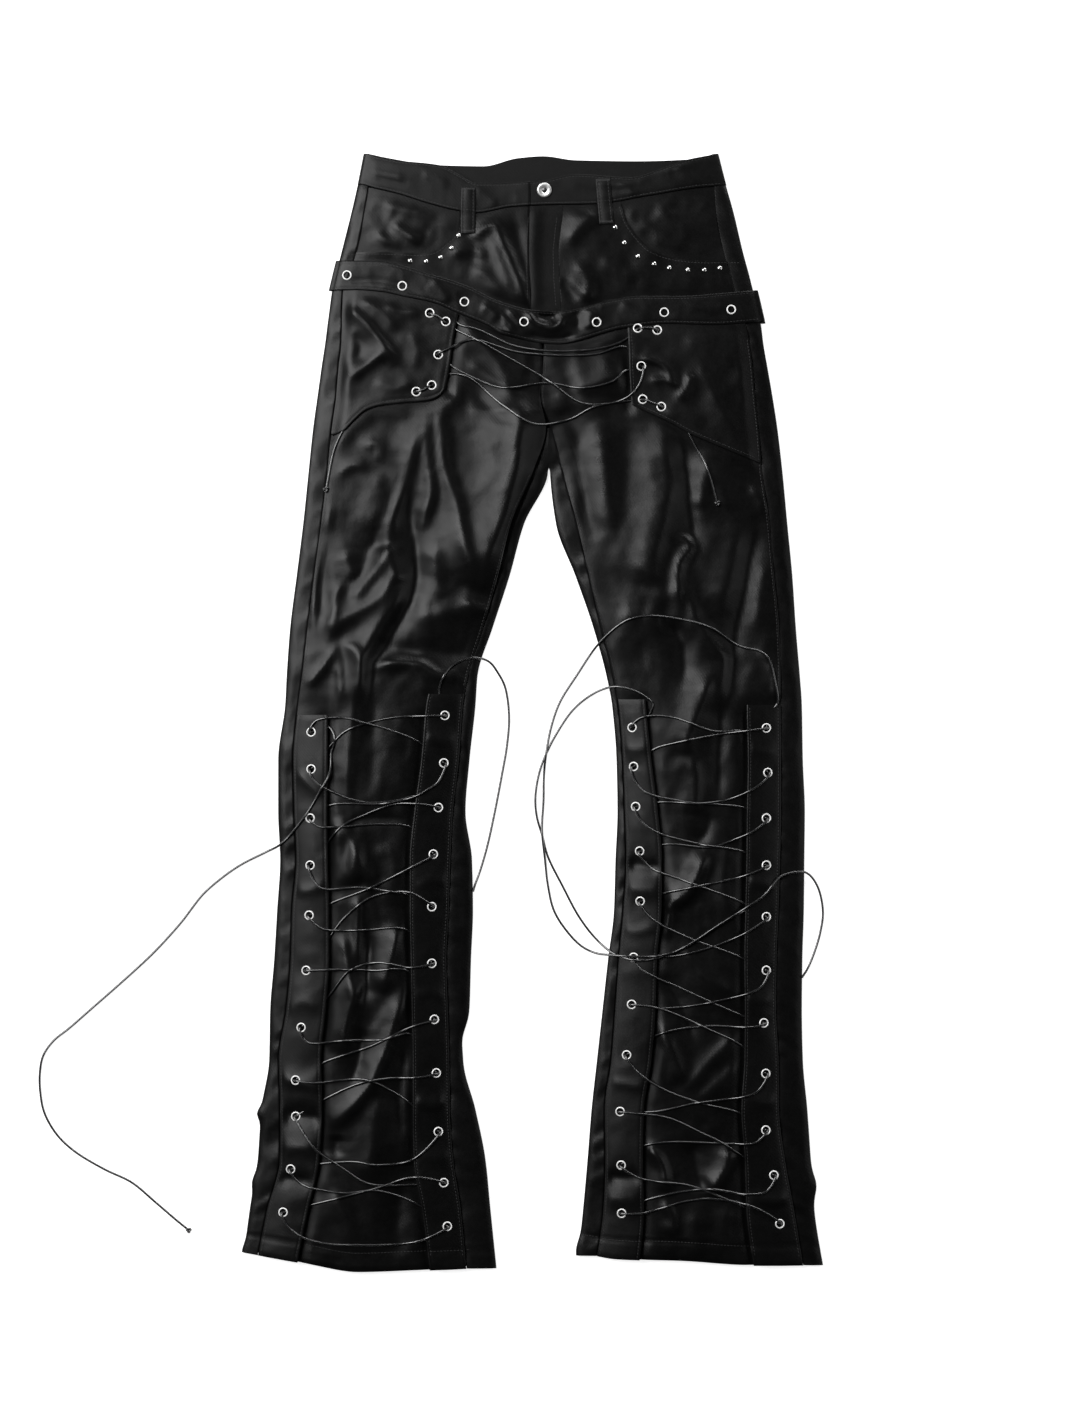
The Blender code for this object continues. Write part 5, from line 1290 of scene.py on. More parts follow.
straps = {
    "strap_right_outseam": {"side": "right", "seam": "sideSeam", "free": "outerStrap", "top": -3.5,
        "eyelets": (
            (-222, -20.5), (-222, -57.5), (-223, -106.5), (-223, -153.5), (-224, -203.5), (-227, -258.5),
            (-232, -315.5), (-237.5, -368), (-237.5, -404.5), (-242.5, -457), (-250, -500)),
        "kinks": (
            (((-236, -60), (-224, -72), (-210, -84)), 1.4, 6, 0.3),
            (((-238, -180), (-222, -178), (-208, -170)), 1.2, 6, 0),
            (((-256, -366), (-236, -370), (-212, -376)), 2.0, 8, -0.4),
            (((-256, -402), (-234, -404), (-210, -406)), -3.2, 10, 0),
            (((-258, -436), (-238, -436), (-216, -434)), 1.6, 9, 0),
            (((-268, -466), (-242, -467), (-220, -469)), -2.6, 7, 0),
            (((-250, -300), (-232, -290), (-212, -296)), 1.2, 9, 0))},
    "strap_right_inseam": {"side": "right", "seam": "innerSeam", "free": "innerStrap", "top": 17.5,
        "eyelets": (
            (-88.5, -4), (-89.5, -51.5), (-95, -96), (-100, -142.5), (-101.5, -195), (-101.5, -251.5),
            (-99, -307.5), (-97, -361), (-95, -419.5), (-89.5, -470.5), (-86, -514)),
        "kinks": (
            (((-76, -24), (-92, -28), (-108, -26)), 1.4, 6, 0),
            (((-84, -170), (-100, -168), (-118, -176)), 1.4, 6, 0.3),
            (((-86, -286), (-102, -280), (-118, -284)), 1.2, 6, 0),
            (((-86, -388), (-102, -392), (-118, -388)), 2.0, 6, 0.4),
            (((-82, -440), (-98, -446), (-114, -440)), 1.2, 6, 0))},
    "strap_left_inseam": {"side": "left", "seam": "innerSeam", "free": "innerStrap", "top": 12.0,
        "eyelets": (
            (98.5, -16), (100, -55), (102, -95), (106, -139.5), (106.5, -189.5), (100, -245.5),
            (98, -292.5), (93, -343), (86.5, -399.5), (87.5, -453), (88, -501)),
        "kinks": (
            (((88, -36), (102, -38), (116, -34)), 1.2, 6, 0),
            (((84, -152), (104, -153), (128, -156)), -2.8, 7, 0),
            (((88, -176), (104, -178), (128, -180)), 1.6, 9, 0),
            (((88, -216), (102, -220), (122, -214)), 1.2, 6, 0),
            (((76, -370), (92, -372), (112, -376)), 1.2, 6, 0),
            (((70, -464), (88, -466), (108, -464)), -2.6, 7, 0),
            (((70, -486), (88, -488), (108, -484)), 1.4, 9, 0))},
    "strap_left_outseam": {"side": "left", "seam": "sideSeam", "free": "outerStrap", "top": 6.5,
        "eyelets": (
            (232.5, -16.5), (234, -61), (232.5, -106.5), (232.5, -153.5), (232.5, -205), (232.5, -258.5),
            (230, -311), (232, -361.5), (232, -418), (240, -463), (246, -511.5)),
        "kinks": (
            (((246, -38), (232, -40), (216, -36)), 1.2, 6, 0),
            (((244, -176), (230, -172), (214, -168)), 1.8, 6, 0.4),
            (((242, -284), (228, -288), (212, -284)), 1.2, 6, 0),
            (((246, -386), (230, -390), (212, -384)), 1.4, 6, 0),
            (((256, -484), (240, -488), (216, -484)), 1.6, 6, 0.3))},
}
strapShape = {
    "lift": smoothLine(((0, 0.3), (0.14, 1.2), (0.5, 3.0), (1, 4.3))), "rows": 172,
    "across": (0, 0.6, 1.6, 2.6, 3.6, 5.5, 8, 11, 14, 17, 20, 23, 26, 28.5, 30.4, 31.6, 32.6, 33.6, 34.4,
               35),
    "seamReach": 9, "edgeReach": 6, "edgeShare": 0.6,
    "waves": ((crumple, 0.35, 24, 0, 0.1, 1.4), (ripple, 0.35, 30, 2)), "seed": 120, "seedStep": 7,
    "edgeWave": (0.9, 34, 3), "freeFold": (2.8,), "seamFold": (2.6, 0.3, 1.0, 0.18), "endFold": (0.45, 2.5),
}


def makeStrap(name, seed):
    strap = straps[name]
    side, top = strap["side"], strap["top"]
    lines = sides[side]
    outseam = strap["seam"] == "sideSeam"
    gap = cloth["gap"] / 2 * lines["toward"] * (1 if outseam else -1)
    share = np.array(strapShape["across"])[None, :] / strapShape["across"][-1]
    down = np.linspace(0, 1, strapShape["rows"])[:, None]
    y = top + (hemLine(-100.0) - top) * down + 0 * share
    for _ in range(6):
        seam = lines[strap["seam"]](y) + gap
        x = seam + (lines[strap["free"]](y) - seam) * share
        y = top + (hemLine(x) - top) * down
    wide = np.abs(lines[strap["free"]](y) - seam)
    fromSeam, fromFree = share * wide, (1 - share) * wide
    high, size, own = strapShape["edgeWave"]
    lie = creaseHeight(strap["kinks"], x, y) + wavesAt(strapShape["waves"], x, y, seed)
    lie = lie + high * np.maximum(0, ripple(x * 0, y, size, seed + own)) * share ** 2
    z = laidTop(side, x, y) + strapShape["lift"](share) + cloth["strapWall"]
    z = z + lie * ease(fromSeam / strapShape["seamReach"]) * partly(fromFree, strapShape)
    z = z - foldedEdge(fromFree, *strapShape["freeFold"]) - foldedEdge(fromSeam, *strapShape["seamFold"])
    deep, reach = strapShape["endFold"]
    ends = np.minimum(top - y, y - hemLine(x))
    z = z - deep * np.maximum(0, 1 - ends / reach) ** 2 - hemGroove(x, y) - dimples(x, y, strap["eyelets"])
    return makeSheet(name, x, y, z, cloth["strapWall"], "strapDenim", (side == "right") != outseam,
                     strap["eyelets"])


strapPieces = [makeStrap(name, strapShape["seed"] + strapShape["seedStep"] * k)
               for k, name in enumerate(straps)]
print("straps")


def treeOf(piece):
    return BVHTree.FromObject(piece, bpy.context.evaluated_depsgraph_get())


# what lies beneath the straps, and all that laces, stitches and metal parts lie on
legTrees = [treeOf(piece) for piece in (*fronts.values(), *backs.values(), flyPiece, *facingPieces)]
topTrees = legTrees + [treeOf(piece) for piece in (waistband, band, *flapPieces, *strapPieces)]


def heightAt(trees, x, y):
    hits = [tree.ray_cast(Vector((x * mm, y * mm, 0.1)), Vector((0, 0, -1)))[0] for tree in trees]
    return max([0.0] + [hit.z / mm for hit in hits if hit])


# highest point within reach
def heightRound(trees, x, y, reach, count=8):
    turns = [2 * math.pi * k / count for k in range(count)]
    ring = [heightAt(trees, x + reach * math.cos(turn), y + reach * math.sin(turn)) for turn in turns]
    return max(heightAt(trees, x, y), *ring)


loops = {
    "right": {"top": (-65, 524), "low": (-65.5, 477.5)},
    "left": {"top": (69, 533), "low": (73, 486.5)},
}
loop = {
    "wide": 14.5, "wall": 1.3, "gap": 0.3, "rows": 30, "feelers": (-7, -3.5, 0, 3.5, 7),
    "across": (-7.25, -6.9, -6.2, -5.2, -4.2, -2.8, -1.4, 0, 1.4, 2.8, 4.2, 5.2, 6.2, 6.9, 7.25),
    "fold": (2.4, 0.45, 1.2, 0.2, 0.8), "crown": (0.35, 4), "bow": 0.7, "bowStart": 0.12,
    "endFold": (0.4, 23.5),
    "waves": ((ripple, 0.25, 12, 171),),
}


def makeLoop(side):
    (topX, topY), (lowX, lowY) = loops[side]["top"], loops[side]["low"]
    count = loop["rows"]
    share = np.linspace(0, 1, count)[:, None]
    middleX, middleY = topX + (lowX - topX) * share, topY + (lowY - topY) * share
    high = np.array([max(heightAt(topTrees, x + dx, y) for dx in loop["feelers"])
                     for x, y in zip(middleX[:, 0], middleY[:, 0])])
    between = np.arange(count) % (count - 1) > 0
    for _ in range(4):                      # a loop spans the step below the waistband
        high = np.maximum(high, (np.roll(high, 1) + np.roll(high, -1)) / 2 * between)
    across = np.array(loop["across"])[None, :]
    x = middleX + across
    y = middleY + 0 * x
    crown, crownReach = loop["crown"]
    z = high[:, None] + loop["gap"] + loop["wall"] + crown * bell(across, crownReach)
    z = z - foldedEdge(loop["wide"] / 2 - np.abs(across), *loop["fold"]) + wavesAt(loop["waves"], x, y)
    bow = np.clip((share - loop["bowStart"]) / (1 - 2 * loop["bowStart"]), 0, 1)
    z = z + loop["bow"] * np.sin(math.pi * bow)
    deep, steep = loop["endFold"]
    z = z - deep * np.maximum(0, 1 - np.minimum(share, 1 - share) * steep) ** 2
    return makeSheet("belt_loop_" + side, x, y, z, loop["wall"], "waistbandDenim")


topTrees += [treeOf(makeLoop(side)) for side in loops]
print("loops")


eyeletSets = {name: strap["eyelets"] for name, strap in straps.items()}
eyeletSets.update(hip_band=hipBand["eyelets"], flap_right=flap["eyelets"]["right"],
                  flap_left=flap["eyelets"]["left"])
stud = {
    "profile": ((0, 0), (2.62, 0), (2.66, 0.3), (2.45, 0.85), (1.9, 1.4), (1.1, 1.75), (0, 1.9)),
    "reach": 2.4, "lift": 0.05, "points": 22, "places": {
        "right": ((-75, 475.5), (-82, 463), (-93, 453.5), (-107.5, 449.5), (-123.5, 450)),
        "left": ((81.5, 483.5), (90.5, 468), (104, 454.5), (120.5, 447), (135.5, 443), (154, 441),
                 (170.5, 441), (186, 443))}}
button = {
    "at": (10.8, 521), "tilt": (0.16, -0.05), "reach": 3, "lift": 0.1, "points": 40, "ring": (
        (0, 0.0), (3.0, 0.0), (3.0, 1.2), (6.6, 1.5), (7.2, 1.9), (7.35, 2.4), (7.1, 2.95), (6.4, 3.3),
        (5.3, 3.3), (4.2, 3.05), (3.4, 2.9), (2.75, 2.6), (2.55, 2.2), (0, 2.1)),
    "middle": ((0, 2.15), (2.4, 2.15), (2.45, 2.35), (1.8, 2.5), (1.0, 2.75), (0, 2.85))}
metal = {"angle": 50, "axis": 0.01, "weld": 0.03, "tiltShare": 0.9}


# a round piece from its profile of radius and height, bottom to top
def turn(name, profile, count):
    bpy.ops.object.select_all(action="DESELECT")
    radii = [max(radius, metal["axis"]) for radius, _ in profile]
    heights = [height for _, height in profile]
    bpy.ops.mesh.primitive_circle_add(vertices=count, radius=radii[0] * mm, location=(0, 0, 0))
    piece = bpy.context.object
    piece.name = name
    bpy.ops.object.mode_set(mode="EDIT")
    bpy.ops.mesh.select_all(action="SELECT")
    bpy.ops.transform.translate(value=(0, 0, heights[0] * mm))
    for k in range(1, len(radii)):
        scale = radii[k] / radii[k - 1]
        bpy.ops.mesh.extrude_edges_move()
        bpy.ops.transform.resize(value=(scale, scale, 1), center_override=(0, 0, 0))
        bpy.ops.transform.translate(value=(0, 0, (heights[k] - heights[k - 1]) * mm))
    bpy.ops.mesh.select_all(action="SELECT")
    bpy.ops.mesh.remove_doubles(threshold=metal["weld"] * mm)
    bpy.ops.mesh.normals_make_consistent(inside=False)
    bpy.ops.object.mode_set(mode="OBJECT")
    return piece


# one piece of copies of a model, each at x, y, z with its tilts about x and y
def copiesAt(name, model, places):
    copies = []
    for x, y, z, tiltX, tiltY in places:
        copy = addObject(name, model.data.copy())
        copy.location = (x * mm, y * mm, z * mm)
        copy.rotation_euler = (tiltX, tiltY, 0)
        copies.append(copy)
    pick(*copies)
    if len(copies) > 1:
        bpy.ops.object.join()
    piece = bpy.context.object
    piece.name = name
    bpy.ops.object.transform_apply(location=True, rotation=True, scale=True)
    return piece


# height and tilts of the surface round a point, as a place for a copy
def restingAt(x, y, part):
    reach = part["reach"]
    east, west = heightAt(topTrees, x + reach, y), heightAt(topTrees, x - reach, y)
    north, south = heightAt(topTrees, x, y + reach), heightAt(topTrees, x, y - reach)
    tiltX, tiltY = math.atan2(north - south, 2 * reach), -math.atan2(east - west, 2 * reach)
    share = metal["tiltShare"]
    return x, y, (east + west + north + south) / 4 + part["lift"], tiltX * share, tiltY * share


def turnedPiece(name, profile, count, places, finish, nodes=()):
    model = turn("model", profile, count)
    smoothShade(model, metal["angle"])
    piece = copiesAt(name, model, places)
    bpy.data.objects.remove(model)
    finishPiece(piece, finish, nodes)
    return piece


def addEyelets():
    profile = (*eyelet["profile"], eyelet["profile"][0])
    spots = {name: [restingAt(x, y, eyelet) for x, y in places] for name, places in eyeletSets.items()}
    # the eyelets take the steel whose near-white colour is painted reflection
    return [turnedPiece("eyelets_" + name, profile, eyelet["points"], spots[name], "steelWithPaintedShine")
            for name in eyeletSets]


def addStuds():
    for side, places in stud["places"].items():
        for number, (x, y) in enumerate(places, 1):
            node = "stud_%s_%d" % (side, number)
            turnedPiece(node + "_dome", stud["profile"], stud["points"], [restingAt(x, y, stud)],
                        "domeSteel", [node])


def addButton():
    x, y = button["at"]
    place = (x, y, heightRound(topTrees, x, y, button["reach"]) + button["lift"], *button["tilt"])
    turnedPiece("button_ring", button["ring"], button["points"], [place], "polishedSteel", ["button"])
    turnedPiece("button_middle", button["middle"], button["points"], [place], "darkSteel")


eyeletPieces = addEyelets()
addStuds()
addButton()
topTrees += [treeOf(piece) for piece in eyeletPieces]
print("eyelets, studs and button")


stitch = {
    "pitch": 3.3, "profile": ((0, -1.25), (0.27, -0.85), (0.27, 0.85), (0, 1.25)), "sides": 5, "flat": 0.8,
    "raised": 0.02, "lowest": 1.5, "steepest": 1.6, "tacks": 13, "tackHalf": 6, "loopIn": 4.9,
    "hem": {"right": (-292, -60), "left": (45, 290)}, "hemFrom": 42,
    "flap": {"right": (-192, -92), "left": (104, 222)}, "flapUp": {"right": 328, "left": 312},
    "flapIn": 3.2, "flapTop": 388, "pocketIn": 2.2, "pocketTop": 3, "step": 4.0,
    "loopEnds": (2, 3), "tackIn": (2.2, 2.4), "strapLow": -548, "strapTop": 2.5,
    "strapEdges": (("free", -2.8), ("seam", 2.6)),
    # seams down the leg and lines across the garment: from, to, and how far to the side
    "seams": (("sideSeam", 20, 372, 2.2), ("innerSeam", 22, 236, -2.2)),
    "across": ((bandTop, -200, 226, -2.6), (bandLow, -202, 228, 2.6), (waistSeam, -170, 188, 2.3),
               (frontTop, -164, 180, -2.3)),
    "fly": (((30, 494), (28, 480), (25.4, 459.5), (26, 430), (28, 408)),
            ((23.6, 494), (21.6, 480), (19.6, 459.5), (20.4, 430), (22.4, 406)),
            ((-5.3, 494), (-7, 460), (-6, 410)), ((12, 366), (12, 340), (9, 318), (11, 300))),
}


# a line moved sideways, to its left
def offsetLine(points, away):
    way = np.gradient(points, axis=0)
    way /= np.linalg.norm(way, axis=1)[:, None] + 1e-9
    return points + np.stack((-way[:, 1], way[:, 0]), 1) * away


def spaced(points, pitch):
    points = np.asarray(points, float)
    run = np.concatenate(((0,), np.cumsum(np.linalg.norm(np.diff(points, axis=0), axis=1))))
    at = np.arange(pitch / 2, run[-1], pitch)
    return np.stack([np.interp(at, run, points[:, k]) for k in range(2)], 1)


# points down a line that is given as x of y, moved in x
def seamLine(line, low, high, shift):
    y = np.arange(high, low, -stitch["step"])
    return np.stack((line(y) + shift, y), 1)


def crossLine(line, low, high, shift):
    x = np.arange(low, high, stitch["step"])
    return np.stack((x, line(x) + shift), 1)


def stitchLines():
    rows = []
    for side, lines in sides.items():
        toward = lines["toward"]
        rows += [seamLine(lines[name], low, high, shift * toward)
                 for name, low, high, shift in stitch["seams"]]
        hem = crossLine(hemLine, *stitch["hem"][side], cloth["hemHigh"])
        rows.append(hem[(hem[:, 0] - lines["sideSeam"](hem[:, 1])) * toward > stitch["hemFrom"]])
        pocket = pockets[side]
        pocket = pocket[pocket[:, 1] < waistSeam(pocket[:, 0]) - stitch["pocketTop"]]
        rows.append(offsetLine(pocket, stitch["pocketIn"] * toward))
        rows.append(crossLine(flapLow[side], *stitch["flap"][side], stitch["flapIn"]))
        rows.append(seamLine(flapEdge[side], stitch["flapUp"][side], stitch["flapTop"],
                             -stitch["flapIn"] * toward))
    for strap in straps.values():
        lines = sides[strap["side"]]
        way = lines["toward"] * (1 if strap["seam"] == "sideSeam" else -1)
        top = strap["top"] - stitch["strapTop"]
        rows += [seamLine(lines[strap[line]], stitch["strapLow"], top, shift * way)
                 for line, shift in stitch["strapEdges"]]
    rows += [crossLine(*values) for values in stitch["across"]]
    rows += stitch["fly"]
    below, above = stitch["loopEnds"]
    for ends in loops.values():
        (topX, topY), (lowX, lowY) = ends["top"], ends["low"]
        rows += [((topX + out, topY - below), (lowX + out, lowY + above))
                 for out in (-stitch["loopIn"], stitch["loopIn"])]
    return rows


# close rows of short stitches that hold the loops
def barTacks():
    below, above = stitch["tackIn"]
    places = [(x, y - below) for x, y in (ends["top"] for ends in loops.values())]
    places += [(x, y + above) for x, y in (ends["low"] for ends in loops.values())]
    return [(x - stitch["tackHalf"] + k, y, math.pi / 2) for x, y in places for k in range(stitch["tacks"])]


def addStitches():
    model = turn("model", stitch["profile"], stitch["sides"])
    shape = np.array([tuple(vertex.co / mm) for vertex in model.data.vertices])
    shape = np.stack((shape[:, 2], shape[:, 0], shape[:, 1] * stitch["flat"]), 1)      # lay it along x
    faces = [tuple(face.vertices) for face in model.data.polygons]
    bpy.data.objects.remove(model)
    places = []
    for row in stitchLines():
        spots = spaced(row, stitch["pitch"])
        ways = np.gradient(spots, axis=0)
        places += [(x, y, math.atan2(dy, dx)) for (x, y), (dx, dy) in zip(spots, ways)]
    points, quads = [], []
    for x, y, turned in places + barTacks():
        c, s = math.cos(turned), math.sin(turned)
        ahead, behind = heightAt(topTrees, x + c, y + s), heightAt(topTrees, x - c, y - s)
        if min(ahead, behind) < stitch["lowest"] or abs(ahead - behind) > stitch["steepest"]:
            continue
        start = len(points) * len(shape)
        high = (ahead + behind) / 2 + (ahead - behind) / 2 * shape[:, 0] + shape[:, 2] + stitch["raised"]
        turnedX, turnedY = shape[:, 0] * c - shape[:, 1] * s, shape[:, 0] * s + shape[:, 1] * c
        points.append(np.stack((x + turnedX, y + turnedY, high), 1))
        quads += [tuple(start + k for k in face) for face in faces]
    piece = meshObject("stitches", np.concatenate(points), quads)
    smoothShade(piece)
    finishPiece(piece, "thread")
    return piece


stitches = addStitches()
print("stitches:", len(stitches.data.polygons))


lace = {
    "radius": 1.2, "clear": 0.06, "apart": 2.46, "step": 1.7, "slope": 0.42, "feel": 0.85, "roof": 0.5,
    "mostUnder": 1.2, "cell": 3, "skip": 9, "near": 0.5, "beneath": 0.6, "inHole": 1.9,
    "feelers": 6, "smoothings": 6, "pilings": 5, "offFloor": 0.01,
    "downRank": 2, "upRank": 1, "rungRank": 3, "firstRank": 4, "lastRank": 5,
}
# strands of the criss-cross, row by row: from the strap on the -X side, then from the +X side
rightStrands = (
    (((-217.5, -9.5), (-187.5, -6.5), (-172.5, -10.5), (-143.5, -18.5), (-112.5, -31.5)),
     ((-109.5, -4.5), (-135.5, -5.5), (-158.5, -9.5), (-187.5, -19.5), (-200.5, -31.5))),
    (((-219.5, -68.5), (-200.5, -80.5), (-169.5, -90.5), (-135.5, -88.5), (-117.5, -84.5)),
     ((-95.5, -70.5), (-105.5, -77.5), (-117.5, -84.5), (-150.5, -92), (-203.5, -93.5))),
    (((-215.5, -114.5), (-197.5, -115.5), (-155.5, -112.5), (-120.5, -116.5)),
     ((-111.5, -92.5), (-138.5, -92.5), (-169.5, -103.5), (-192.5, -115.5))),
    (((-213.5, -175.5), (-172.5, -175.5), (-140, -180), (-123.5, -183.5)),
     ((-120.5, -154.5), (-143.5, -166.5), (-166.5, -177.5), (-202.5, -191.5))),
    (((-211.5, -216.5), (-174.5, -218.5), (-125.5, -218.5)),
     ((-120.5, -181.5), (-131.5, -179.5), (-162.5, -185.5), (-188.5, -205.5), (-202.5, -223.5))),
    (((-192.5, -257.5), (-160, -258.5), (-124.5, -259.5)),
     ((-122.5, -255.5), (-155.5, -250.5), (-183.5, -258.5), (-202.5, -281.5))),
    (((-226.5, -329.5), (-190, -328.5), (-151.5, -327.5), (-121.5, -322.5)),
     ((-121.5, -314.5), (-163.5, -334.5), (-209.5, -350.5))),
    (((-218.5, -370.5), (-166.5, -367.5), (-140, -380), (-120.5, -393.5)),
     ((-109.5, -364.5), (-166.5, -369), (-211.5, -388.5))),
    (((-236.5, -409.5), (-218.5, -435.5), (-185.5, -459.5), (-164.5, -471.5), (-118.5, -472.5)),
     ((-111.5, -440.5), (-126.5, -449.5), (-159.5, -452.5), (-175.5, -449.5), (-211.5, -451.5))),
    (((-233.5, -470.5), (-192.5, -480.5), (-155.5, -478.5), (-113.5, -493.5)),
     ((-118.5, -464.5), (-155.5, -475.5), (-217.5, -491.5))),
)
leftStrands = (
    (((106.5, -6.5), (137.5, -5.5), (179.5, -19.5), (212.5, -21.5)),
     ((188.5, -22.5), (140.5, -31.5), (120.5, -37.5))),
    (((97.5, -59.5), (108.5, -78.5), (147.5, -89.5), (212.5, -96.5)),
     ((227.5, -71.5), (198.5, -86.5), (171.5, -91.5), (125.5, -90.5))),
    (((108.5, -110.5), (125.5, -121.5), (166.5, -132.5), (211.5, -140.5)),
     ((220.5, -118.5), (198.5, -128.5), (176.5, -135.5), (131.5, -132.5))),
    (((116.5, -155.5), (152.5, -169.5), (210.5, -191.5)),
     ((208.5, -164.5), (152.5, -176.5), (133.5, -180.5))),
    (((116.5, -205.5), (151.5, -224.5), (202.5, -243.5)),
     ((210.5, -221.5), (173.5, -236.5), (137.5, -244.5))),
    (((106.5, -256.5), (149.5, -277.5), (210.5, -304.5)),
     ((232.5, -266.5), (224.5, -276.5), (186.5, -288.5), (130.5, -296.5))),
    (((122.5, -295.5), (177.5, -318.5), (210.5, -335.5)),
     ((220.5, -314.5), (169.5, -314.5), (124.5, -322.5))),
    (((102.5, -358.5), (128.5, -376.5), (165.5, -390.5), (207.5, -401.5)),
     ((222.5, -379.5), (181.5, -388.5), (163.5, -390.5), (120.5, -399.5))),
    (((133.5, -405.5), (169.5, -421.5), (186.5, -429.5), (208.5, -443.5)),
     ((220.5, -430.5), (202.5, -431.5), (110.5, -433.5))),
    (((105.5, -465.5), (156.5, -473.5), (214.5, -496.5)),
     ((232.5, -478.5), (210.5, -481.5), (173.5, -476.5), (110.5, -488.5))),
)
# a place on a lace is x and y, and "u" where it runs beneath; both long ends start at the strap
legLaces = {
    "right": {
        "strands": rightStrands, "minus": "strap_right_outseam", "plus": "strap_right_inseam",
        "rung": ((-244.5, -514.5), (-220.5, -528.5), (-173.5, -532.5), (-129.5, -531.5), (-111.5, -527.5)),
        "first": ((-205.5, -15, "u"), (-198.5, -27), (-202.5, -42.5), (-202.5, -54.5),
                  (-205.5, -66.5), (-210.7, -75.5), (-227.5, -103.5), (-252.5, -132.5),
                  (-267.5, -140.5), (-291.5, -152.5), (-309.5, -164.5), (-330.5, -182.5),
                  (-342.5, -197.5), (-351.5, -209.5), (-378.5, -239.5), (-408.5, -267.5),
                  (-441.5, -296.5), (-465.5, -317.5), (-480.5, -329.5), (-491, -344.5),
                  (-494.4, -362.5), (-494, -380.5), (-490, -401.5), (-477.5, -423.5),
                  (-459.5, -440.5), (-429.5, -458.5), (-402.5, -471.5), (-378.5, -491.5),
                  (-357.5, -509.5), (-347, -518)),
        "last": ((-94, 12, "u"), (-93.5, 26.5), (-88.5, 37.5), (-82, 45.5), (-68.5, 52.5),
                 (-54.5, 53.5), (-44, 49.5), (-35.5, 38.5), (-28.5, 24.5), (-24.5, -4.5),
                 (-26.5, -33.5), (-31.5, -62.5), (-39, -101.5), (-46.5, -135.5),
                 (-53.5, -159.5), (-58.5, -173.5), (-60.5, -180))},
    "left": {
        "strands": leftStrands, "minus": "strap_left_inseam", "plus": "strap_left_outseam",
        "rung": ((108.5, -500.5), (153.5, -488.5), (179.5, -486.5), (220.5, -494.5)),
        "first": ((114, -5, "u"), (119, 8), (113.5, 13.5), (101.5, 20.5), (82.2, 25),
                  (67.5, 21.5), (53.1, 13.5), (38.5, 0.5), (24.1, -20.5), (14.5, -38.5),
                  (5.9, -60.5), (1.8, -87.5), (3.5, -106.5), (8.5, -123.5), (14.5, -145.5),
                  (28.9, -174.5), (45.5, -205.5), (61.5, -226.5), (77.5, -240.5),
                  (92.5, -246.5), (108.5, -248.5), (128.5, -244.5), (149.5, -236.5),
                  (175.5, -219.5), (200, -204.5), (206.5, -201.5, "u"), (215, -198, "u")),
        "last": ((236, 0, "u"), (243.5, 7.5), (241, 31.5), (234.5, 53.5), (225.5, 60.5),
                 (205.5, 65.5), (179.5, 82.5), (152.5, 90.9), (116.5, 95.5), (96.5, 92.5),
                 (82.5, 84.5), (62.5, 64.5), (43.5, 36.5), (26.5, 9.5), (18, -14.5),
                 (13.2, -38.5), (10.5, -63.5), (10, -89.5), (8.5, -118.5), (11.5, -148.5),
                 (14.5, -174.5), (20.5, -199.5), (33, -219.5), (47.5, -234.5), (61.5, -241.5),
                 (80, -243.5), (104.5, -244.5), (126.5, -243.5), (141.5, -239.5),
                 (161.5, -228.5), (184, -213.5), (212.5, -195.5), (231, -182.5),
                 (245.5, -165.5), (261.5, -160.5), (273.5, -161.5), (284.1, -174.5),
                 (289.8, -199.5), (287.1, -221.5), (280, -244.5), (273.5, -259),
                 (268.5, -266))},
}
# the lace across the hips in stretches, each with its place in the pile
hipRoute = (
    (0, ((-207, 224), (-199, 262), (-187, 286, "u"), (-172, 303, "u"), (-145, 316, "u"), (-117, 319, "up"),
         (-109, 321), (-101.5, 325.5, "down"))),
    (1, ((-93, 331, "u"), (-84, 337, "u"), (-66, 334), (-30, 305), (0, 287), (36, 292), (60, 304),
         (93, 310, "u"))),
    (0, ((109, 311.5, "up"), (118, 308), (127.5, 304, "down"), (118, 322, "u"), (93.5, 341, "u"), (80, 330),
         (50, 323), (12, 328), (-30, 323), (-62, 334), (-82, 345, "u"), (-95, 356, "up"))),
    (1, ((-82.5, 363), (-62, 371), (-14, 358.5), (60, 356.5), (92, 364, "u"))),
    (0, ((107.5, 344.5, "up"),)),
    (2, ((107, 330), (97, 316))),
    (3, ((78, 308), (48, 308), (12, 332), (-30, 356), (-57, 371))),
    (0, ((-73, 379, "u"), (-81, 383, "u"), (-87.5, 389, "up"), (-95, 394), (-103.5, 397.5, "down"),
         (-95, 399, "u"), (-84, 395, "u"), (-75, 387, "u"), (-55, 381), (-14, 363.5), (60, 361.5),
         (91, 371, "u"), (104, 382.5, "up"), (114, 383), (123.5, 380.5, "down"), (136, 340, "u"),
         (150, 291, "u"), (161, 265), (171, 248), (183, 210))),
)


# stops of a lace: x, y, how it lies ("t" on top, "u" beneath, or in a hole) and its rank in the pile
def stopsAlong(places, rank):
    return [(x, y, *(lie or ["t"]), rank) for x, y, *lie in places]


def throughEyelet(x, y, toward, rank, rising=True):
    pair = [(x - lace["beneath"] * toward, y, "u", rank), (x - lace["inHole"] * toward, y, "hole", rank)]
    return pair if rising else pair[::-1]


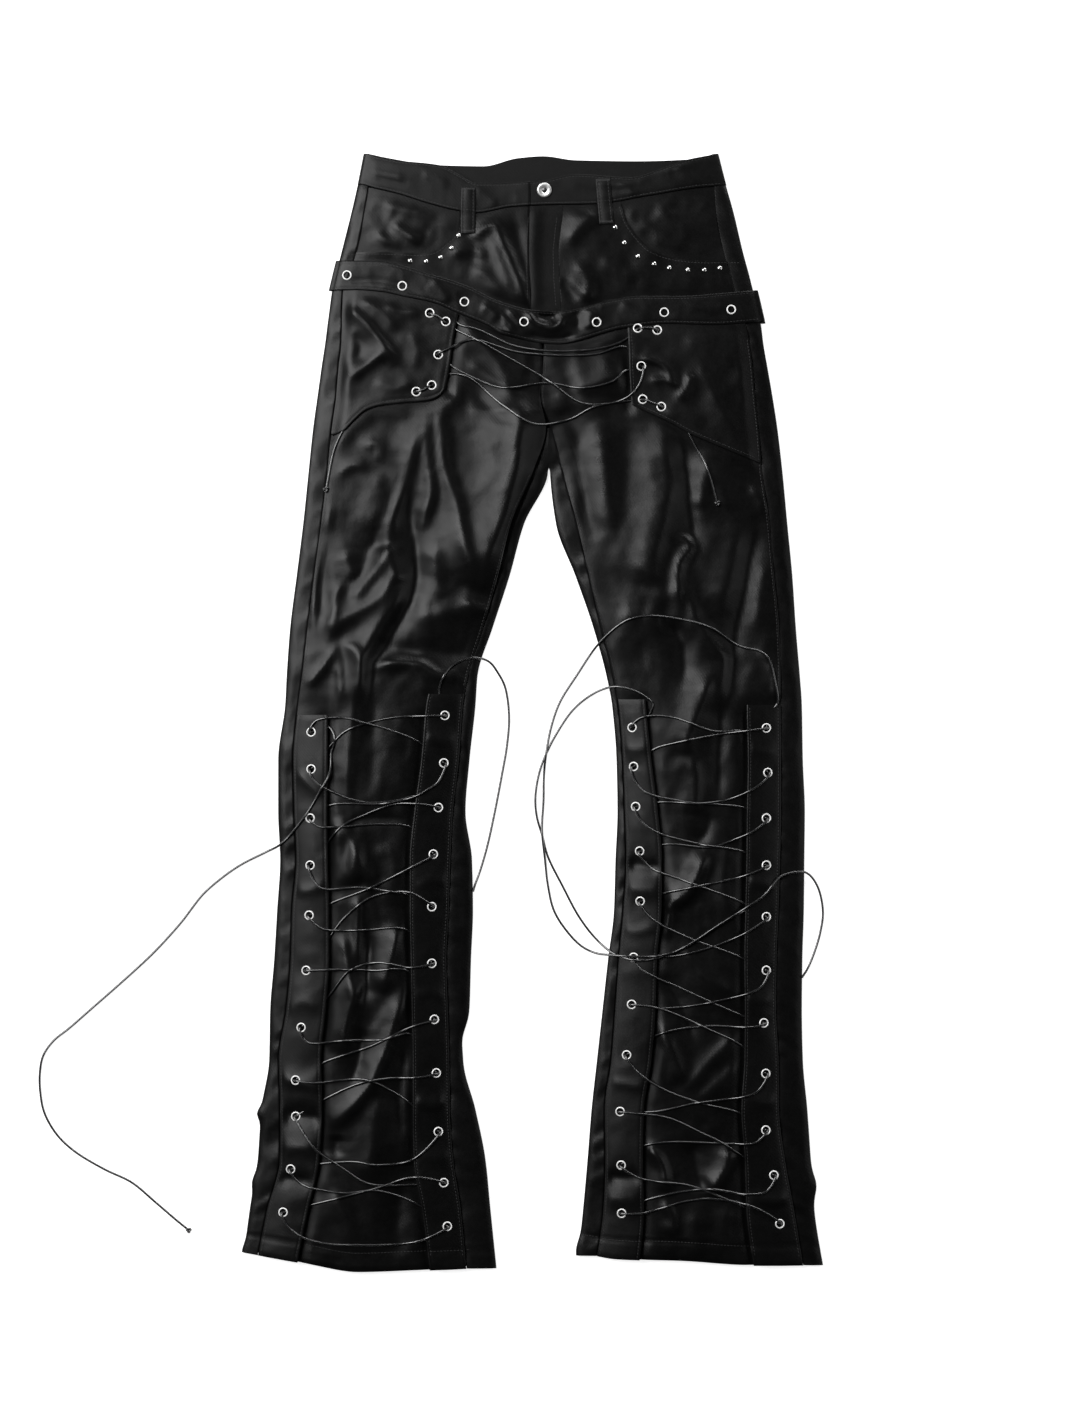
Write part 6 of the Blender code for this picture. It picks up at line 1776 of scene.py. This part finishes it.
# half of a leg's lace, from strap to strap down the rows, and the strap where it ends
def halfLace(plan, here, rank):
    stops = []
    for row, strands in enumerate((*plan["strands"], None)):
        toward = 1 if here == "minus" else -1
        stops += throughEyelet(*straps[plan[here]]["eyelets"][row], toward, rank)
        if strands:
            strand = strands[0 if here == "minus" else 1]
            stops += stopsAlong((*strand[:-1], (*strand[-1], "u")), rank)
            here = "plus" if here == "minus" else "minus"
    return stops, here


def legRoute(side):
    plan = legLaces[side]
    down, foot = halfLace(plan, "minus", lace["downRank"])
    up, _ = halfLace(plan, "plus", lace["upRank"])
    rung = stopsAlong(plan["rung"], lace["rungRank"])
    rung = rung[::-1] if foot == "plus" else rung
    first = stopsAlong(plan["first"], lace["firstRank"])
    return first[::-1] + down + rung + up[::-1] + stopsAlong(plan["last"], lace["lastRank"])


def hipLaceRoute():
    stops = []
    for x, y, lie, rank in (stop for rank, places in hipRoute for stop in stopsAlong(places, rank)):
        if lie in ("up", "down"):
            stops += throughEyelet(x, y, 1 if x < 0 else -1, rank, lie == "up")
        else:
            stops.append((x, y, lie, rank))
    return stops


def smoothed(line):
    line = line.copy()
    line[1:-1] = (line[:-2] + 2 * line[1:-1] + line[2:]) / 4
    return line


# pairs of points on a lace that cross or run side by side
def closePairs(flat):
    cells = {}
    for k, (x, y) in enumerate(flat):
        cells.setdefault((int(x // lace["cell"]), int(y // lace["cell"])), []).append(k)
    pairs = []
    for (i, j), here in cells.items():
        around = [k for di in (-1, 0, 1) for dj in (-1, 0, 1) for k in cells.get((i + di, j + dj), ())]
        pairs += [(a, b) for a in here for b in around
                  if b - a > lace["skip"] and np.hypot(*(flat[a] - flat[b])) < lace["apart"] + lace["near"]]
    return pairs


# centre line of a lace laid over what is beneath it, and over itself by rank
def layLace(stops):
    spans = []
    flat = curveThrough([(x, y) for x, y, _, _ in stops], lace["step"], spans)
    count = len(flat)
    ways = [(stops[span][2], stops[span + 1][2]) for span in spans]
    under = np.array(["u" in way and "hole" not in way for way in ways])
    hole = np.array(["u" in way and "hole" in way for way in ways])
    rank = [(stops[span][3] + stops[span + 1][3]) / 2 for span in spans]
    below = [legTrees if under[k] or hole[k] else topTrees for k in range(count)]
    need = np.array([heightRound(trees, x, y, lace["feel"], lace["feelers"])
                     for trees, (x, y) in zip(below, flat)]) + lace["radius"] + lace["clear"]
    drop = lace["slope"] * np.linalg.norm(np.diff(flat, axis=0), axis=1)
    roof = np.where(under, need + lace["roof"], 1e9)

    def settle(z):
        for k in range(1, count):
            z[k] = max(z[k], min(roof[k], z[k - 1] - drop[k - 1]))
        for k in range(count - 2, -1, -1):
            z[k] = max(z[k], min(roof[k], z[k + 1] - drop[k]))
        for _ in range(lace["smoothings"]):
            z = np.minimum(np.maximum(smoothed(z), need), np.maximum(roof, need))
        return z

    z = settle(need.copy())
    pairs = [(a, b) for a, b in closePairs(flat) if not (hole[a] or hole[b]) and under[a] == under[b]]
    for _ in range(lace["pilings"]):
        raised = need.copy()
        for a, b in pairs:
            low, high = (a, b) if (rank[a], a) < (rank[b], b) else (b, a)
            away = min(np.hypot(*(flat[a] - flat[b])), lace["apart"])
            rise = math.sqrt(lace["apart"] ** 2 - away ** 2)
            rise = min(rise, lace["mostUnder"]) if under[high] else rise
            raised[high] = max(raised[high], z[low] + rise)
        need = np.maximum(need, raised)
        z = settle(np.maximum(z, need))
    line = smoothed(smoothed(np.column_stack((flat, z))))
    line[:, 2] = np.maximum(line[:, 2], lace["radius"] + lace["offFloor"])
    return line


def tubeCurve(name, points, radius, closed=False):
    curve = bpy.data.curves.new(name, "CURVE")
    curve.dimensions = "3D"
    curve.bevel_depth, curve.bevel_resolution = radius * mm, 2
    curve.use_fill_caps = not closed
    spline = curve.splines.new("POLY")
    spline.points.add(len(points) - 1)
    for point, place in zip(spline.points, points):
        point.co = (*(place * mm), 1.0)
    spline.use_cyclic_u, spline.use_smooth = closed, True
    return addObject(name, curve)


def laceCurve(name, line, nodes):
    piece = tubeCurve(name, line, lace["radius"])
    finishPiece(piece, "waxedLace", nodes)
    return piece


knot = {"size": 0.78, "past": 2.2, "high": 1.15, "cord": 0.95, "points": 48, "reach": 2.5}


# a small overhand knot past the end of a lace
def addKnot(name, end, before, node):
    x, y, _ = end + np.array(Vector(end - before).normalized()) * knot["past"]
    floor = heightRound(topTrees, x, y, knot["reach"]) + knot["cord"] + knot["high"] * knot["size"]
    turns = np.linspace(0, 2 * math.pi, knot["points"] + 1)[:-1]
    points = np.stack((np.sin(turns) + 2 * np.sin(2 * turns), np.cos(turns) - 2 * np.cos(2 * turns),
                       -knot["high"] * np.sin(3 * turns)), 1) * knot["size"]
    piece = tubeCurve(name, points + (x, y, floor), knot["cord"], closed=True)
    pick(piece)
    bpy.ops.object.convert(target="MESH")
    bpy.ops.object.shade_smooth()
    finishPiece(piece, "waxedLace", [node])
    return piece


def lengthOf(line):
    return float(np.linalg.norm(np.diff(line, axis=0), axis=1).sum()) * mm


lines = {name: layLace(route) for name, route in (
    ("right", legRoute("right")), ("left", legRoute("left")), ("hip", hipLaceRoute()))}
laceRight = laceCurve("lace_leg_right_cord", lines["right"], ["lace_leg_right"])
laceLeft = laceCurve("lace_leg_left_cord", lines["left"], ["lace_leg_left"])
laceHip = laceCurve("lace_hip_cord", lines["hip"], ["lace_hip"])
knotRight = addKnot("knot_leg_right_tie", lines["right"][0], lines["right"][2], "knot_leg_right")
knotHipRight = addKnot("knot_hip_right_tie", lines["hip"][0], lines["hip"][2], "knot_hip_right")
knotHipLeft = addKnot("knot_hip_left_tie", lines["hip"][-1], lines["hip"][-3], "knot_hip_left")
print("laces:", {name: round(lengthOf(line), 3) for name, line in lines.items()})
